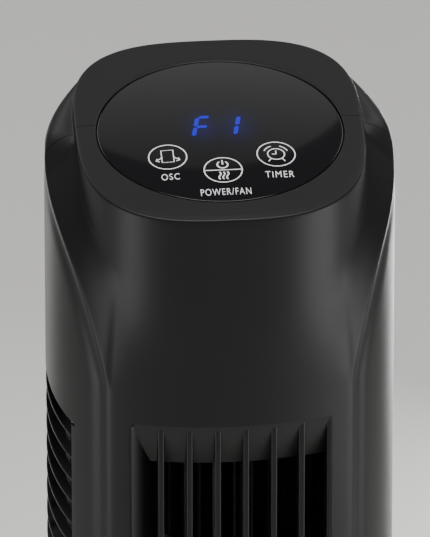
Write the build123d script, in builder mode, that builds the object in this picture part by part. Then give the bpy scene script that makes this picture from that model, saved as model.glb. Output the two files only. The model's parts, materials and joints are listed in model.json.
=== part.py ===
"""Tower fan: a cross-flow fan in an upright casing that swings on a round base.

Millimetres. +Z is up, the air outlet faces -Y, and the origin is on the floor under the
axis that the tower swings about.
"""
from build123d import *
from math import cos, pi, radians, sin
import os

# ---- casing -----------------------------------------------------------------------------
BODY_R = 77.0            # radius of the round body
WALL = 2.5               # casing wall
TOWER_Z0 = 46.0          # lower edge of the tower
RIM_Z = 750.0            # height of the middle of the tilted rim
RIM_TILT = 10.0          # degrees that the rim leans towards the front
FRONT_Y = 64.4           # front face to swing axis
FRONT_R = 150.0          # plan radius of the bowed front face
HEAD_A = 63.4            # head column, half width
HEAD_B = 64.4            # head column, half depth
HEAD_POWER = 2.8         # superellipse exponent of the head column
HEAD_DEEP = 160.0        # how far the head column runs down inside the body
SHOULDER_DROP = 1.0      # rear shoulder below the rim
SHOULDER_ROUND = 12.0    # rolled edge of the rear shoulder
SEAM_Y = 5.0             # plane where the front and rear casings meet

# ---- touch panel ------------------------------------------------------------------------
PANEL_A, PANEL_B = 54.0, 50.5      # half axes of the oval lens
PANEL_SHIFT = -2.8                 # lens centre, forward of the rim's middle
PANEL_GAP = 0.4
LENS_T = 2.5
LENS_CROWN = 2.0
KEY_PLACES = [(-24.2, -19.3), (-0.8, -29.8), (23.2, -19.3)]
DISPLAY_X, DISPLAY_Y = -1.6, 2.5

# ---- outlet -----------------------------------------------------------------------------
OUTLET_HALF = 44.5       # half width of the cut-out in the front face
OUTLET_TOP = 635.6       # where the sloping lintel leaves the front face
LINTEL_DROP = 22.0       # height of the sloping lintel
LINTEL_DEEP = 8.0        # how far the lintel leans in
OUTLET_Z0 = 152.0        # lower edge of the cut-out
GRILLE_BACK = -46.0      # rear face of the outlet frame
FRAME_SIDE = 2.2
FRAME_OPEN = 5.0         # the air way runs out past the frame's rear face
RIB_PITCH = 12.4
RIB_T = 2.8
RIB_COUNT = 6
RIB_BACK = -50.0

# ---- inlet ------------------------------------------------------------------------------
LOUVRE_FROM, LOUVRE_TO = 20.0, 209.0      # degrees round the axis from +X
LOUVRE_Z0 = 130.0
LOUVRE_TOP = 630.0                        # height of the top edge over the axis
LOUVRE_SLOPE = 12.6                       # degrees that the slats fall towards the front
LOUVRE_PITCH = 11.0
SLAT_T = 2.5
LOUVRE_BAND = 8.0                         # plain band above and below the slats
BAR_IN, BAR_OUT = 71.5, 74.8              # upright bars behind the slats
BAR_WIDE, BAR_STEP = 2.0, 27.0            # degrees
SLAT_LAP = 1.0                            # how far the slats run into the bars
SLAT_END = 1.3                            # degrees from the window's edge to a slat's end

# ---- wheel, duct and motor --------------------------------------------------------------
AXIS_X, AXIS_Y = 4.0, 6.0                 # wheel axis
WHEEL_R = 38.0
WHEEL_Z0, WHEEL_Z1 = 156.0, 614.0
WHEEL_DISCS = 9
WHEEL_BLADES = 30
BLADE_T = 1.2
DISC_T = 1.6
SHAFT_R = 4.0
STUB_R = 3.0
RUNNING = 0.05                            # radial play of a running fit
PLATE_R = 71.5
PLATE_T = 3.0
MOTOR_PLATE_Z = 144.0
BEARING_PLATE_Z = 622.0
MOTOR_R = 43.0
MOTOR_Z0, MOTOR_Z1 = 92.0, 140.0
MOTOR_WALL = 2.0
CUSHION_T = MOTOR_PLATE_Z - MOTOR_Z1
MOTOR_SCREW_PCD = 70.0

# ---- swing drive and base ---------------------------------------------------------------
FLOOR_Z = 58.0
FLOOR_T = 3.0
POST_R = 8.5
POST_BORE = 6.0
POST_TOP = 66.0
CRANK_OFFSET = 30.0                       # crank shaft to swing axis
CRANK_R = 17.3
CRANK_PIN_R = 2.0
SLOT_HALF = 3.5
SLIDE_IN, SLIDE_OUT = 54.0, 60.0
OSC_R = 21.0
OSC_SHIFT = 9.0                           # gear motor body to its shaft
BASE_R = 120.0
NECK_R = 72.0
NECK_TOP = 44.0
BASE_WALL = 3.0
FOOT_T = 2.5

os.makedirs("parts", exist_ok=True)
rim_plane = Plane(
    origin=(0, 0, RIM_Z),
    x_dir=(1, 0, 0),
    z_dir=(0, -sin(radians(RIM_TILT)), cos(radians(RIM_TILT))),
)
written = []


def save(block, name):
    """Label a finished piece and write its STEP file."""
    block.part.label = name
    export_step(block.part, f"parts/{name}.step")
    written.append(name)


def superellipse(half_x, half_y, power, count=32):
    """Points round a superellipse, evenly spaced in its own angle."""
    points = []
    for i in range(count):
        turn = 2 * pi * (i + 0.5) / count
        c, s = cos(turn), sin(turn)
        points.append((
            half_x * abs(c) ** (2 / power) * (1 if c > 0 else -1),
            half_y * abs(s) ** (2 / power) * (1 if s > 0 else -1),
        ))
    return points


# Lower edge of the air above the shoulder, as (y, depth below the rim's middle), at three
# stations out from the middle: the shoulder falls outwards and towards the front.
SHOULDER_LINES = {
    0.0: [(10, -14), (-5, 5), (-20, 18), (-36, 28), (-50, 38), (-58, 43), (-72, 49)],
    45.0: [(10, -12), (-5, 8), (-20, 20.5), (-36, 25), (-46, 29), (-56, 72), (-72, 130)],
    80.0: [(10, -6), (-5, 16), (-20, 32), (-36, 55), (-46, 95), (-56, 200), (-72, 360)],
}


def head_column(inset):
    """The upright column under the rim, cut off along the tilted rim plane."""
    with BuildPart() as column:
        with BuildSketch(Plane.XY.offset(RIM_Z - HEAD_DEEP)):
            with BuildLine():
                Spline(*superellipse(HEAD_A - inset, HEAD_B - inset, HEAD_POWER), periodic=True)
            make_face()
        extrude(amount=HEAD_DEEP + 30)
        split(bisect_by=rim_plane.offset(-inset), keep=Keep.BOTTOM)
    return column.part


def shoulder_air(inset, side):
    """The air over one shoulder: side is 1 on the right and -1 on the left."""
    with BuildPart() as air:
        for station, line in SHOULDER_LINES.items():
            with BuildSketch(Plane.YZ.offset(side * station)):
                with BuildLine():
                    low = [(y + inset, RIM_Z - depth - inset) for y, depth in line]
                    Spline(*low)
                    Polyline(low[-1], (low[-1][0], RIM_Z + 40), (low[0][0], RIM_Z + 40), low[0])
                make_face()
        loft(ruled=True)
    return air.part


def tower_form(inset=0.0, z0=TOWER_Z0):
    """The tower's outer form, or with an inset the hollow inside a wall that thick."""
    column = head_column(inset)
    with BuildPart() as form:
        with BuildSketch(Plane.XY.offset(z0)):
            Circle(BODY_R - inset)
        extrude(amount=RIM_Z + 40 - z0)
        split(bisect_by=rim_plane.offset(-SHOULDER_DROP - inset), keep=Keep.BOTTOM)
        fillet(form.faces().sort_by(Axis.Z)[-1].edges(), SHOULDER_ROUND - inset)
        with BuildSketch(Plane.XY.offset(z0)):
            with Locations((0, FRONT_R - FRONT_Y)):
                Circle(FRONT_R - inset)
        extrude(amount=RIM_Z + 40 - z0, mode=Mode.INTERSECT)
        add(shoulder_air(inset, 1) - column, mode=Mode.SUBTRACT)
        add(shoulder_air(inset, -1) - column, mode=Mode.SUBTRACT)
        add(column)
    return form.part


def sector(inner, outer, start, end):
    """Face of a ring sector between two radii and two angles."""
    with BuildSketch() as piece:
        with BuildLine():
            outer_arc = CenterArc((0, 0), outer, start, end - start)
            inner_arc = CenterArc((0, 0), inner, start, end - start)
            Line(outer_arc @ 0, inner_arc @ 0)
            Line(outer_arc @ 1, inner_arc @ 1)
        make_face()
    return piece.sketch


def louvre_plane(height):
    """Plane of one slat, falling towards the front, at its height over the axis."""
    lean = radians(LOUVRE_SLOPE)
    return Plane(origin=(0, 0, height), x_dir=(1, 0, 0), z_dir=(0, -sin(lean), cos(lean)))


def inlet_window(inner, outer):
    """The space that the inlet grille fills in the casings."""
    with BuildPart() as window:
        with BuildSketch(Plane.XY.offset(LOUVRE_Z0)):
            add(sector(inner, outer, LOUVRE_FROM, LOUVRE_TO))
        extrude(amount=LOUVRE_TOP + 40 - LOUVRE_Z0)
        split(bisect_by=louvre_plane(LOUVRE_TOP), keep=Keep.BOTTOM)
    return window.part


outer_form = tower_form()
inner_form = tower_form(WALL, TOWER_Z0 - 1)

# ---- casings ----------------------------------------------------------------------------
HANDLE_HALF, HANDLE_Z0, HANDLE_Z1, HANDLE_Y = 42.0, 664.0, 698.0, 52.0
HANDLE_WALL = 2.0
SCREW_ANGLES, SCREW_HEIGHTS = (50, 90, 130), (92.0, 112.0)
SHELL_SCREW_R, SHELL_SCREW_T = 3.2, 3.0

with BuildPart() as casing:
    add(outer_form)
    add(inner_form, mode=Mode.SUBTRACT)
    add(inlet_window(60, 90), mode=Mode.SUBTRACT)
    with BuildSketch(rim_plane.offset(-10)):
        with Locations((0, PANEL_SHIFT)):
            Ellipse(PANEL_A + PANEL_GAP, PANEL_B + PANEL_GAP)
    extrude(amount=20, mode=Mode.SUBTRACT)
    with Locations((0, -FRONT_Y, (OUTLET_Z0 + OUTLET_TOP) / 2)):
        Box(2 * OUTLET_HALF, 60, OUTLET_TOP - OUTLET_Z0, mode=Mode.SUBTRACT)
    with Locations((0, BODY_R, (HANDLE_Z0 + HANDLE_Z1) / 2)):
        Box(2 * HANDLE_HALF, 40, HANDLE_Z1 - HANDLE_Z0, mode=Mode.SUBTRACT)

with BuildPart() as shell_screws:
    with Locations(*[Plane(
        origin=(BODY_R * cos(radians(turn)), BODY_R * sin(radians(turn)), height),
        z_dir=(cos(radians(turn)), sin(radians(turn)), 0),
    ) for turn in SCREW_ANGLES for height in SCREW_HEIGHTS]):
        Cylinder(SHELL_SCREW_R, SHELL_SCREW_T, align=(Align.CENTER, Align.CENTER, Align.MAX))
save(shell_screws, "shell_screws")

seam = Plane.XZ.offset(-SEAM_Y)
with BuildPart() as front_shell:
    add(casing.part)
    split(bisect_by=seam, keep=Keep.TOP)
save(front_shell, "front_shell")

with BuildPart() as rear_shell:
    add(casing.part)
    split(bisect_by=seam, keep=Keep.BOTTOM)
    add(shell_screws.part, mode=Mode.SUBTRACT)
save(rear_shell, "rear_shell")

with BuildPart() as handle_cup:
    handle_mid = (HANDLE_Z0 + HANDLE_Z1) / 2
    with Locations((0, (HANDLE_Y - HANDLE_WALL + BODY_R) / 2, handle_mid)):
        Box(2 * (HANDLE_HALF + HANDLE_WALL), BODY_R - HANDLE_Y + HANDLE_WALL,
            HANDLE_Z1 - HANDLE_Z0 + 2 * HANDLE_WALL)
    add(inner_form, mode=Mode.INTERSECT)
    with Locations((0, (HANDLE_Y + 100) / 2, handle_mid)):
        Box(2 * HANDLE_HALF, 100 - HANDLE_Y, HANDLE_Z1 - HANDLE_Z0, mode=Mode.SUBTRACT)
save(handle_cup, "handle_cup")

# ---- outlet grille: frame with a sloping lintel and sill, and upright ribs ----------------
frame_height = OUTLET_TOP - OUTLET_Z0
frame_mid_z = OUTLET_Z0 + frame_height / 2
rib_places = [(i - (RIB_COUNT - 1) / 2) * RIB_PITCH for i in range(RIB_COUNT)]

with BuildPart() as outlet_grille:
    with Locations((0, GRILLE_BACK - 20, frame_mid_z)):
        Box(2 * OUTLET_HALF, 40, frame_height)
    # air way, narrowed at the top by the lintel and at the bottom by the sill
    with BuildSketch(Plane.YZ.offset(-OUTLET_HALF + FRAME_SIDE)):
        with BuildLine():
            Polyline(
                (-FRONT_Y - 2 * LINTEL_DEEP, OUTLET_TOP + 2 * LINTEL_DROP),
                (-FRONT_Y + LINTEL_DEEP, OUTLET_TOP - LINTEL_DROP),
                (GRILLE_BACK + FRAME_OPEN, OUTLET_TOP - LINTEL_DROP),
                (GRILLE_BACK + FRAME_OPEN, OUTLET_Z0 + LINTEL_DEEP),
                (-FRONT_Y + LINTEL_DEEP, OUTLET_Z0 + LINTEL_DEEP),
                (-FRONT_Y - 2 * LINTEL_DEEP, OUTLET_Z0 - 2 * LINTEL_DEEP),
                close=True,
            )
        make_face()
    extrude(amount=2 * (OUTLET_HALF - FRAME_SIDE), mode=Mode.SUBTRACT)
    with Locations([(x, RIB_BACK - 10, frame_mid_z) for x in rib_places]):
        Box(RIB_T, 20, frame_height)
    add(outer_form, mode=Mode.INTERSECT)
save(outlet_grille, "outlet_grille")

# ---- inlet grille: sloping slats on upright bars, between two posts and two bands -----------
slat_count = int((LOUVRE_TOP - LOUVRE_Z0 - 2 * LOUVRE_BAND) / LOUVRE_PITCH)
slat_heights = [LOUVRE_TOP - LOUVRE_BAND - LOUVRE_PITCH * (i + 1) for i in range(slat_count - 2)]
bar_count = round((LOUVRE_TO - LOUVRE_FROM) / BAR_STEP)
bar_gap = (LOUVRE_TO - LOUVRE_FROM - BAR_WIDE) / bar_count

with BuildPart() as inlet_grille:
    # bands
    add(inlet_window(BODY_R - WALL, BODY_R))
    split(bisect_by=louvre_plane(LOUVRE_TOP - LOUVRE_BAND), keep=Keep.TOP)
    with BuildSketch(Plane.XY.offset(LOUVRE_Z0)):
        add(sector(BODY_R - WALL, BODY_R, LOUVRE_FROM, LOUVRE_TO))
    extrude(amount=LOUVRE_BAND)
    # posts and bars
    with BuildSketch(Plane.XY.offset(LOUVRE_Z0)):
        for i in range(bar_count + 1):
            start = LOUVRE_FROM + i * bar_gap
            add(sector(BAR_IN, BAR_OUT, start, start + BAR_WIDE))
    extrude(amount=LOUVRE_TOP - LOUVRE_Z0 - 2 * LOUVRE_BAND)
    # slats
    for height in slat_heights:
        with BuildSketch(louvre_plane(height)):
            add(sector(BAR_OUT - SLAT_LAP, BODY_R, LOUVRE_FROM + SLAT_END, LOUVRE_TO - SLAT_END))
        extrude(amount=SLAT_T)
save(inlet_grille, "inlet_grille")

# ---- touch panel and its electronics, built on the tilted rim plane -------------------------
panel_mid = (0, PANEL_SHIFT)
TRAY_T = 2.0
TRAY_FLOOR = -15.0
BOARD_TOP = -8.0
BOARD_T = 1.6
BOARD_HOLES = (64, 54)       # spacing of the board's screws
BOARD_SCREW_R, BOARD_HEAD_R = 1.0, 2.2
BOARD_SCREW_LONG = 4.5
BOARD_POST_R = 3.5
TRAY_RIM = 3.0               # flange of the tray under the lens
LENS_SINK = 0.3              # edge of the lens below the rim plane
DISPLAY_W, DISPLAY_H = 25.2, 19.0
SPRING_R, SPRING_T = 5.0, 1.0

with BuildPart() as touch_panel:
    crown_r = (PANEL_A ** 2 + LENS_CROWN ** 2) / (2 * LENS_CROWN)
    with BuildSketch(rim_plane.offset(-LENS_T)):
        with Locations(panel_mid):
            Ellipse(PANEL_A, PANEL_B)
    extrude(amount=LENS_T + LENS_CROWN)
    crown_plane = rim_plane.offset(LENS_CROWN - LENS_SINK - crown_r)
    crown_mid = crown_plane.from_local_coords((0, PANEL_SHIFT, 0))
    with Locations(crown_mid):
        Sphere(crown_r, mode=Mode.INTERSECT)
save(touch_panel, "touch_panel")

with BuildPart() as panel_tray:
    with BuildSketch(rim_plane.offset(TRAY_FLOOR)):
        with Locations(panel_mid):
            Ellipse(PANEL_A, PANEL_B)
    extrude(amount=-LENS_T - TRAY_FLOOR)
    with BuildSketch(rim_plane.offset(TRAY_FLOOR + TRAY_T)):
        with Locations(panel_mid):
            Ellipse(PANEL_A - TRAY_T, PANEL_B - TRAY_T)
    extrude(amount=-TRAY_FLOOR, mode=Mode.SUBTRACT)
    with BuildSketch(rim_plane.offset(-LENS_T - TRAY_T)):
        with Locations(panel_mid):
            Ellipse(PANEL_A + TRAY_RIM, PANEL_B + TRAY_RIM)
            Ellipse(PANEL_A - TRAY_T, PANEL_B - TRAY_T, mode=Mode.SUBTRACT)
    extrude(amount=TRAY_T)
    with BuildSketch(rim_plane.offset(TRAY_FLOOR + TRAY_T)):
        with Locations(panel_mid):
            with GridLocations(*BOARD_HOLES, 2, 2):
                Circle(BOARD_POST_R)
                Circle(BOARD_SCREW_R, mode=Mode.SUBTRACT)
    extrude(amount=BOARD_TOP - BOARD_T - TRAY_FLOOR - TRAY_T)
    add(inner_form, mode=Mode.INTERSECT)
save(panel_tray, "panel_tray")

with BuildPart() as control_board:
    with BuildSketch(rim_plane.offset(BOARD_TOP - BOARD_T)):
        with Locations(panel_mid):
            Ellipse(PANEL_A - TRAY_T - 0.5, PANEL_B - TRAY_T - 0.5)
            with GridLocations(*BOARD_HOLES, 2, 2):
                Circle(BOARD_SCREW_R, mode=Mode.SUBTRACT)
    extrude(amount=BOARD_T)
save(control_board, "control_board")

with BuildPart() as board_screws:
    with BuildSketch(rim_plane.offset(BOARD_TOP)):
        with Locations(panel_mid):
            with GridLocations(*BOARD_HOLES, 2, 2):
                Circle(BOARD_HEAD_R)
    extrude(amount=1.6)
    with BuildSketch(rim_plane.offset(BOARD_TOP - BOARD_SCREW_LONG)):
        with Locations(panel_mid):
            with GridLocations(*BOARD_HOLES, 2, 2):
                Circle(BOARD_SCREW_R)
    extrude(amount=BOARD_SCREW_LONG)
save(board_screws, "board_screws")

with BuildPart() as display_module:
    with BuildSketch(rim_plane.offset(BOARD_TOP)):
        with Locations((DISPLAY_X, DISPLAY_Y)):
            Rectangle(DISPLAY_W, DISPLAY_H)
    extrude(amount=-LENS_T - BOARD_TOP)
    chamfer(display_module.edges().filter_by(Axis(rim_plane.origin, rim_plane.z_dir)), 0.8)
save(display_module, "display_module")

with BuildPart() as touch_springs:
    with BuildSketch(rim_plane.offset(BOARD_TOP)):
        with Locations(KEY_PLACES):
            Circle(SPRING_R)
            Circle(SPRING_R - SPRING_T, mode=Mode.SUBTRACT)
    extrude(amount=-LENS_T - BOARD_TOP)
save(touch_springs, "touch_springs")

# ---- cross-flow wheel ------------------------------------------------------------------------
wheel_mid = (AXIS_X, AXIS_Y)
HUB_R = 9.0
HUB_T = 12.0
DISC_HOLE_R = WHEEL_R - 11.0
STUB_FLANGE_T = 3.0
STUB_OVER = 7.0              # stub beyond the lower face of the bearing plate
blade_in, blade_out = WHEEL_R - 9.5, WHEEL_R - 0.6
disc_step = (WHEEL_Z1 - WHEEL_Z0 - DISC_T) / (WHEEL_DISCS - 1)

with BuildSketch() as blade:
    with BuildLine():
        hollow = ThreePointArc((blade_in, 0), (WHEEL_R - 5.4, 2.6), (blade_out, 3.2))
        back = ThreePointArc((blade_in, BLADE_T), (WHEEL_R - 5.8, 2.6 + BLADE_T),
                             (blade_out - 0.3, 3.2 + BLADE_T))
        Line(hollow @ 0, back @ 0)
        Line(hollow @ 1, back @ 1)
    make_face()

with BuildPart() as impeller:
    with BuildSketch(Plane.XY.offset(WHEEL_Z0)):
        with Locations(wheel_mid):
            with PolarLocations(0, WHEEL_BLADES):
                add(blade.sketch)
    extrude(amount=WHEEL_Z1 - WHEEL_Z0)
    for i in range(WHEEL_DISCS):
        with BuildSketch(Plane.XY.offset(WHEEL_Z0 + i * disc_step)):
            with Locations(wheel_mid):
                Circle(WHEEL_R)
                if 0 < i < WHEEL_DISCS - 1:
                    Circle(DISC_HOLE_R, mode=Mode.SUBTRACT)
        extrude(amount=DISC_T)
    with BuildSketch(Plane.XY.offset(WHEEL_Z0)):
        with Locations(wheel_mid):
            Circle(HUB_R)
    extrude(amount=HUB_T)
    with BuildSketch(Plane.XY.offset(WHEEL_Z0)):
        with Locations(wheel_mid):
            Circle(SHAFT_R)
    extrude(amount=HUB_T, mode=Mode.SUBTRACT)
save(impeller, "impeller")

with BuildPart() as impeller_stub:
    with BuildSketch(Plane.XY.offset(WHEEL_Z1)):
        with Locations(wheel_mid):
            Circle(HUB_R)
    extrude(amount=STUB_FLANGE_T)
    with BuildSketch(Plane.XY.offset(WHEEL_Z1)):
        with Locations(wheel_mid):
            Circle(STUB_R)
    extrude(amount=BEARING_PLATE_Z + STUB_OVER - WHEEL_Z1)
    chamfer(impeller_stub.faces().sort_by(Axis.Z)[-1].edges(), 0.5)
save(impeller_stub, "impeller_stub")

# ---- fan motor --------------------------------------------------------------------------------
STATOR_R = 38.0
ROTOR_R = 22.0
BOSS_R = 12.0
BOSS_T = 3.0
CORE_Z0, CORE_H = MOTOR_Z0 + 8, 26.0       # laminations of the stator and the rotor
AIR_GAP = 1.0
SHAFT_LIFT = 0.5                           # shaft's lower end above the housing's
MOTOR_SCREW_R, MOTOR_HEAD_R, MOTOR_HEAD_T = 2.0, 4.0, 2.4
CUSHION_R = 5.0
BOSS_PLAY = 1.0
motor_screw_r = MOTOR_SCREW_PCD / 2

with BuildPart() as motor_housing:
    with BuildSketch(Plane.XY.offset(MOTOR_Z0)):
        with Locations(wheel_mid):
            Circle(MOTOR_R)
    extrude(amount=MOTOR_Z1 - MOTOR_Z0)
    fillet(motor_housing.edges(), 3)
    with BuildSketch(Plane.XY.offset(MOTOR_Z0 - BOSS_T)):
        with Locations(wheel_mid):
            Circle(BOSS_R)
    extrude(amount=MOTOR_Z1 - MOTOR_Z0 + 2 * BOSS_T)
    with BuildSketch(Plane.XY.offset(MOTOR_Z0 + MOTOR_WALL)):
        with Locations(wheel_mid):
            Circle(STATOR_R)
    extrude(amount=MOTOR_Z1 - MOTOR_Z0 - 2 * MOTOR_WALL, mode=Mode.SUBTRACT)
    with BuildSketch(Plane.XY.offset(MOTOR_Z0)):
        with Locations(wheel_mid):
            Circle(SHAFT_R + RUNNING)
    extrude(amount=MOTOR_Z1 + BOSS_T - MOTOR_Z0, mode=Mode.SUBTRACT)
    with BuildSketch(Plane.XY.offset(MOTOR_Z1 - MOTOR_WALL)):
        with Locations(wheel_mid):
            with PolarLocations(motor_screw_r, 4, 45):
                Circle(MOTOR_SCREW_R)
    extrude(amount=MOTOR_WALL, mode=Mode.SUBTRACT)
save(motor_housing, "motor_housing")

with BuildPart() as stator:
    with BuildSketch(Plane.XY.offset(CORE_Z0)):
        with Locations(wheel_mid):
            Circle(STATOR_R)
            Circle(ROTOR_R + AIR_GAP, mode=Mode.SUBTRACT)
    extrude(amount=CORE_H)
save(stator, "stator")

with BuildPart() as rotor:
    with BuildSketch(Plane.XY.offset(CORE_Z0)):
        with Locations(wheel_mid):
            Circle(ROTOR_R)
            Circle(SHAFT_R, mode=Mode.SUBTRACT)
    extrude(amount=CORE_H)
save(rotor, "rotor")

with BuildPart() as motor_shaft:
    with BuildSketch(Plane.XY.offset(MOTOR_Z0 + SHAFT_LIFT)):
        with Locations(wheel_mid):
            Circle(SHAFT_R)
    extrude(amount=WHEEL_Z0 + HUB_T - MOTOR_Z0 - SHAFT_LIFT)
save(motor_shaft, "motor_shaft")

with BuildPart() as motor_cushions:
    with BuildSketch(Plane.XY.offset(MOTOR_Z1)):
        with Locations(wheel_mid):
            with PolarLocations(motor_screw_r, 4, 45):
                Circle(CUSHION_R)
                Circle(MOTOR_SCREW_R, mode=Mode.SUBTRACT)
    extrude(amount=CUSHION_T)
save(motor_cushions, "motor_cushions")

with BuildPart() as motor_screws:
    with BuildSketch(Plane.XY.offset(MOTOR_PLATE_Z + PLATE_T)):
        with Locations(wheel_mid):
            with PolarLocations(motor_screw_r, 4, 45):
                Circle(MOTOR_HEAD_R)
    extrude(amount=MOTOR_HEAD_T)
    with BuildSketch(Plane.XY.offset(MOTOR_Z1 - MOTOR_WALL)):
        with Locations(wheel_mid):
            with PolarLocations(motor_screw_r, 4, 45):
                Circle(MOTOR_SCREW_R)
    extrude(amount=MOTOR_PLATE_Z + PLATE_T - MOTOR_Z1 + MOTOR_WALL)
save(motor_screws, "motor_screws")

# ---- plates that carry the motor and the wheel, and the air duct --------------------------------
with BuildSketch() as plate_outline:
    Circle(PLATE_R)
    with Locations((0, FRONT_R - FRONT_Y)):
        Circle(FRONT_R - WALL, mode=Mode.INTERSECT)

with BuildPart() as motor_plate:
    with BuildSketch(Plane.XY.offset(MOTOR_PLATE_Z)):
        add(plate_outline.sketch)
        with Locations(wheel_mid):
            Circle(BOSS_R + BOSS_PLAY, mode=Mode.SUBTRACT)
            with PolarLocations(motor_screw_r, 4, 45):
                Circle(MOTOR_SCREW_R, mode=Mode.SUBTRACT)
    extrude(amount=PLATE_T)
save(motor_plate, "motor_plate")

BUSH_R = 6.0
BUSH_LIP, BUSH_LIP_T = 2.5, 3.0
with BuildPart() as bearing_plate:
    with BuildSketch(Plane.XY.offset(BEARING_PLATE_Z)):
        add(plate_outline.sketch)
        with Locations(wheel_mid):
            Circle(BUSH_R, mode=Mode.SUBTRACT)
    extrude(amount=PLATE_T)
    with Locations((0, GRILLE_BACK - 20, BEARING_PLATE_Z)):
        Box(2 * OUTLET_HALF, 40, 4 * PLATE_T, mode=Mode.SUBTRACT)
save(bearing_plate, "bearing_plate")

with BuildPart() as upper_bush:
    with BuildSketch(Plane.XY.offset(BEARING_PLATE_Z)):
        with Locations(wheel_mid):
            Circle(BUSH_R)
    extrude(amount=PLATE_T)
    with BuildSketch(Plane.XY.offset(BEARING_PLATE_Z + PLATE_T)):
        with Locations(wheel_mid):
            Circle(BUSH_R + BUSH_LIP)
    extrude(amount=BUSH_LIP_T)
    with BuildSketch(Plane.XY.offset(BEARING_PLATE_Z)):
        with Locations(wheel_mid):
            Circle(STUB_R + RUNNING)
    extrude(amount=PLATE_T + BUSH_LIP_T, mode=Mode.SUBTRACT)
save(upper_bush, "upper_bush")

DUCT_T = 2.0
DUCT_START, DUCT_END = -50.0, 115.0        # degrees round the wheel axis
DUCT_NEAR, DUCT_GROWTH = 41.0, 0.115       # mm from the wheel axis, and mm more per degree
DUCT_POINTS = 8
# plan outlines as (x, y): the tongue beside the wheel, and the lead-in in front of it
TONGUE_LINE = [
    (-41.5, GRILLE_BACK), (-31.0, GRILLE_BACK), (-29.0, -25.0), (-33.5, -20.0),
    (-38.0, -24.0), (-41.5, -34.0),
]
LEAD_IN_LINE = [
    (-42.3, -56.5), (-33.0, -50.0), (-31.6, -44.4), (-40.5, -44.4), (-42.3, GRILLE_BACK),
]
TONGUE_ROUND = 1.5
duct_z0 = MOTOR_PLATE_Z + PLATE_T
duct_height = BEARING_PLATE_Z - duct_z0


def spiral(extra):
    """Points along the scroll wall, a little wider at each degree towards the outlet."""
    points = []
    for i in range(DUCT_POINTS):
        turn = DUCT_START + (DUCT_END - DUCT_START) * i / (DUCT_POINTS - 1)
        reach = DUCT_NEAR + extra + DUCT_GROWTH * (DUCT_END - turn)
        points.append((
            AXIS_X + reach * cos(radians(turn)),
            AXIS_Y + reach * sin(radians(turn)),
        ))
    return points


with BuildPart() as scroll_duct:
    with BuildSketch(Plane.XY.offset(duct_z0)):
        with BuildLine():
            face_line = Spline(*spiral(0))
            back_line = Spline(*spiral(DUCT_T))
            Line(face_line @ 0, back_line @ 0)
            Line(face_line @ 1, back_line @ 1)
        make_face()
    extrude(amount=duct_height)
save(scroll_duct, "scroll_duct")

with BuildPart() as air_tongue:
    with BuildSketch(Plane.XY.offset(duct_z0)):
        with BuildLine():
            FilletPolyline(*TONGUE_LINE, radius=TONGUE_ROUND, close=True)
        make_face()
    extrude(amount=duct_height)
    # slanting lead-in that closes the first bay of the outlet
    with BuildSketch(Plane.XY.offset(OUTLET_Z0 + LINTEL_DEEP)):
        with BuildLine():
            Polyline(*LEAD_IN_LINE, close=True)
        make_face()
    extrude(amount=OUTLET_TOP - LINTEL_DROP - OUTLET_Z0 - LINTEL_DEEP)
save(air_tongue, "air_tongue")

# ---- foot of the tower ----------------------------------------------------------------------------
BOSS_WALL = 3.0
BOSS_UNDER = 4.0          # pivot boss below the tower floor
BOSS_PLAY_UP = 0.4        # pivot boss below the top of the post
CRANK_HOLE_R = 5.0
CAP_LIFT = 0.3            # play between the tower and what it slides on

with BuildPart() as bottom_cap:
    with BuildSketch(Plane.XY.offset(FLOOR_Z)):
        Circle(BODY_R - WALL)
        with Locations((0, FRONT_R - FRONT_Y)):
            Circle(FRONT_R - WALL, mode=Mode.INTERSECT)
    extrude(amount=FLOOR_T)
    with BuildSketch(Plane.XY.offset(TOWER_Z0)):
        Circle(SLIDE_OUT)
        Circle(SLIDE_IN, mode=Mode.SUBTRACT)
    extrude(amount=FLOOR_Z - TOWER_Z0)
    with BuildSketch(Plane.XY.offset(FLOOR_Z - BOSS_UNDER)):
        Circle(POST_R + BOSS_WALL)
    extrude(amount=POST_TOP - BOSS_PLAY_UP - FLOOR_Z + BOSS_UNDER)
    with BuildSketch(Plane.XY.offset(FLOOR_Z - BOSS_UNDER)):
        Circle(POST_R + RUNNING)
        with Locations((0, CRANK_OFFSET)):
            Circle(CRANK_HOLE_R)
    extrude(amount=POST_TOP - FLOOR_Z + BOSS_UNDER, mode=Mode.SUBTRACT)
save(bottom_cap, "bottom_cap")

OSC_FLANGE_T, OSC_BODY_T = 1.5, 16.0
OSC_EARS = 2 * OSC_R + 8            # spacing of the gear motor's screws
OSC_SCREW_R, OSC_HEAD_R, OSC_HEAD_T = 1.5, 2.6, 1.8
CRANK_SHAFT_R = 2.5
CRANK_SHAFT_IN = 8.0                # depth of the shaft's bore in the gear motor
floor_top = FLOOR_Z + FLOOR_T

with BuildPart() as osc_motor:
    with BuildSketch(Plane.XY.offset(floor_top)):
        with Locations((0, CRANK_OFFSET + OSC_SHIFT)):
            Circle(OSC_R)
        with Locations((0, CRANK_OFFSET + OSC_SHIFT)):
            SlotOverall(OSC_EARS + 8, 10)
    extrude(amount=OSC_FLANGE_T)
    with BuildSketch(Plane.XY.offset(floor_top + OSC_FLANGE_T)):
        with Locations((0, CRANK_OFFSET + OSC_SHIFT)):
            Circle(OSC_R)
    extrude(amount=OSC_BODY_T)
    fillet(osc_motor.faces().sort_by(Axis.Z)[-1].edges(), 1.5)
    with BuildSketch(Plane.XY.offset(floor_top)):
        with Locations((0, CRANK_OFFSET)):
            Circle(CRANK_SHAFT_R + RUNNING)
        with Locations((0, CRANK_OFFSET + OSC_SHIFT)):
            with GridLocations(OSC_EARS, 0, 2, 1):
                Circle(OSC_SCREW_R)
    extrude(amount=CRANK_SHAFT_IN, mode=Mode.SUBTRACT)
save(osc_motor, "osc_motor")

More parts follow.
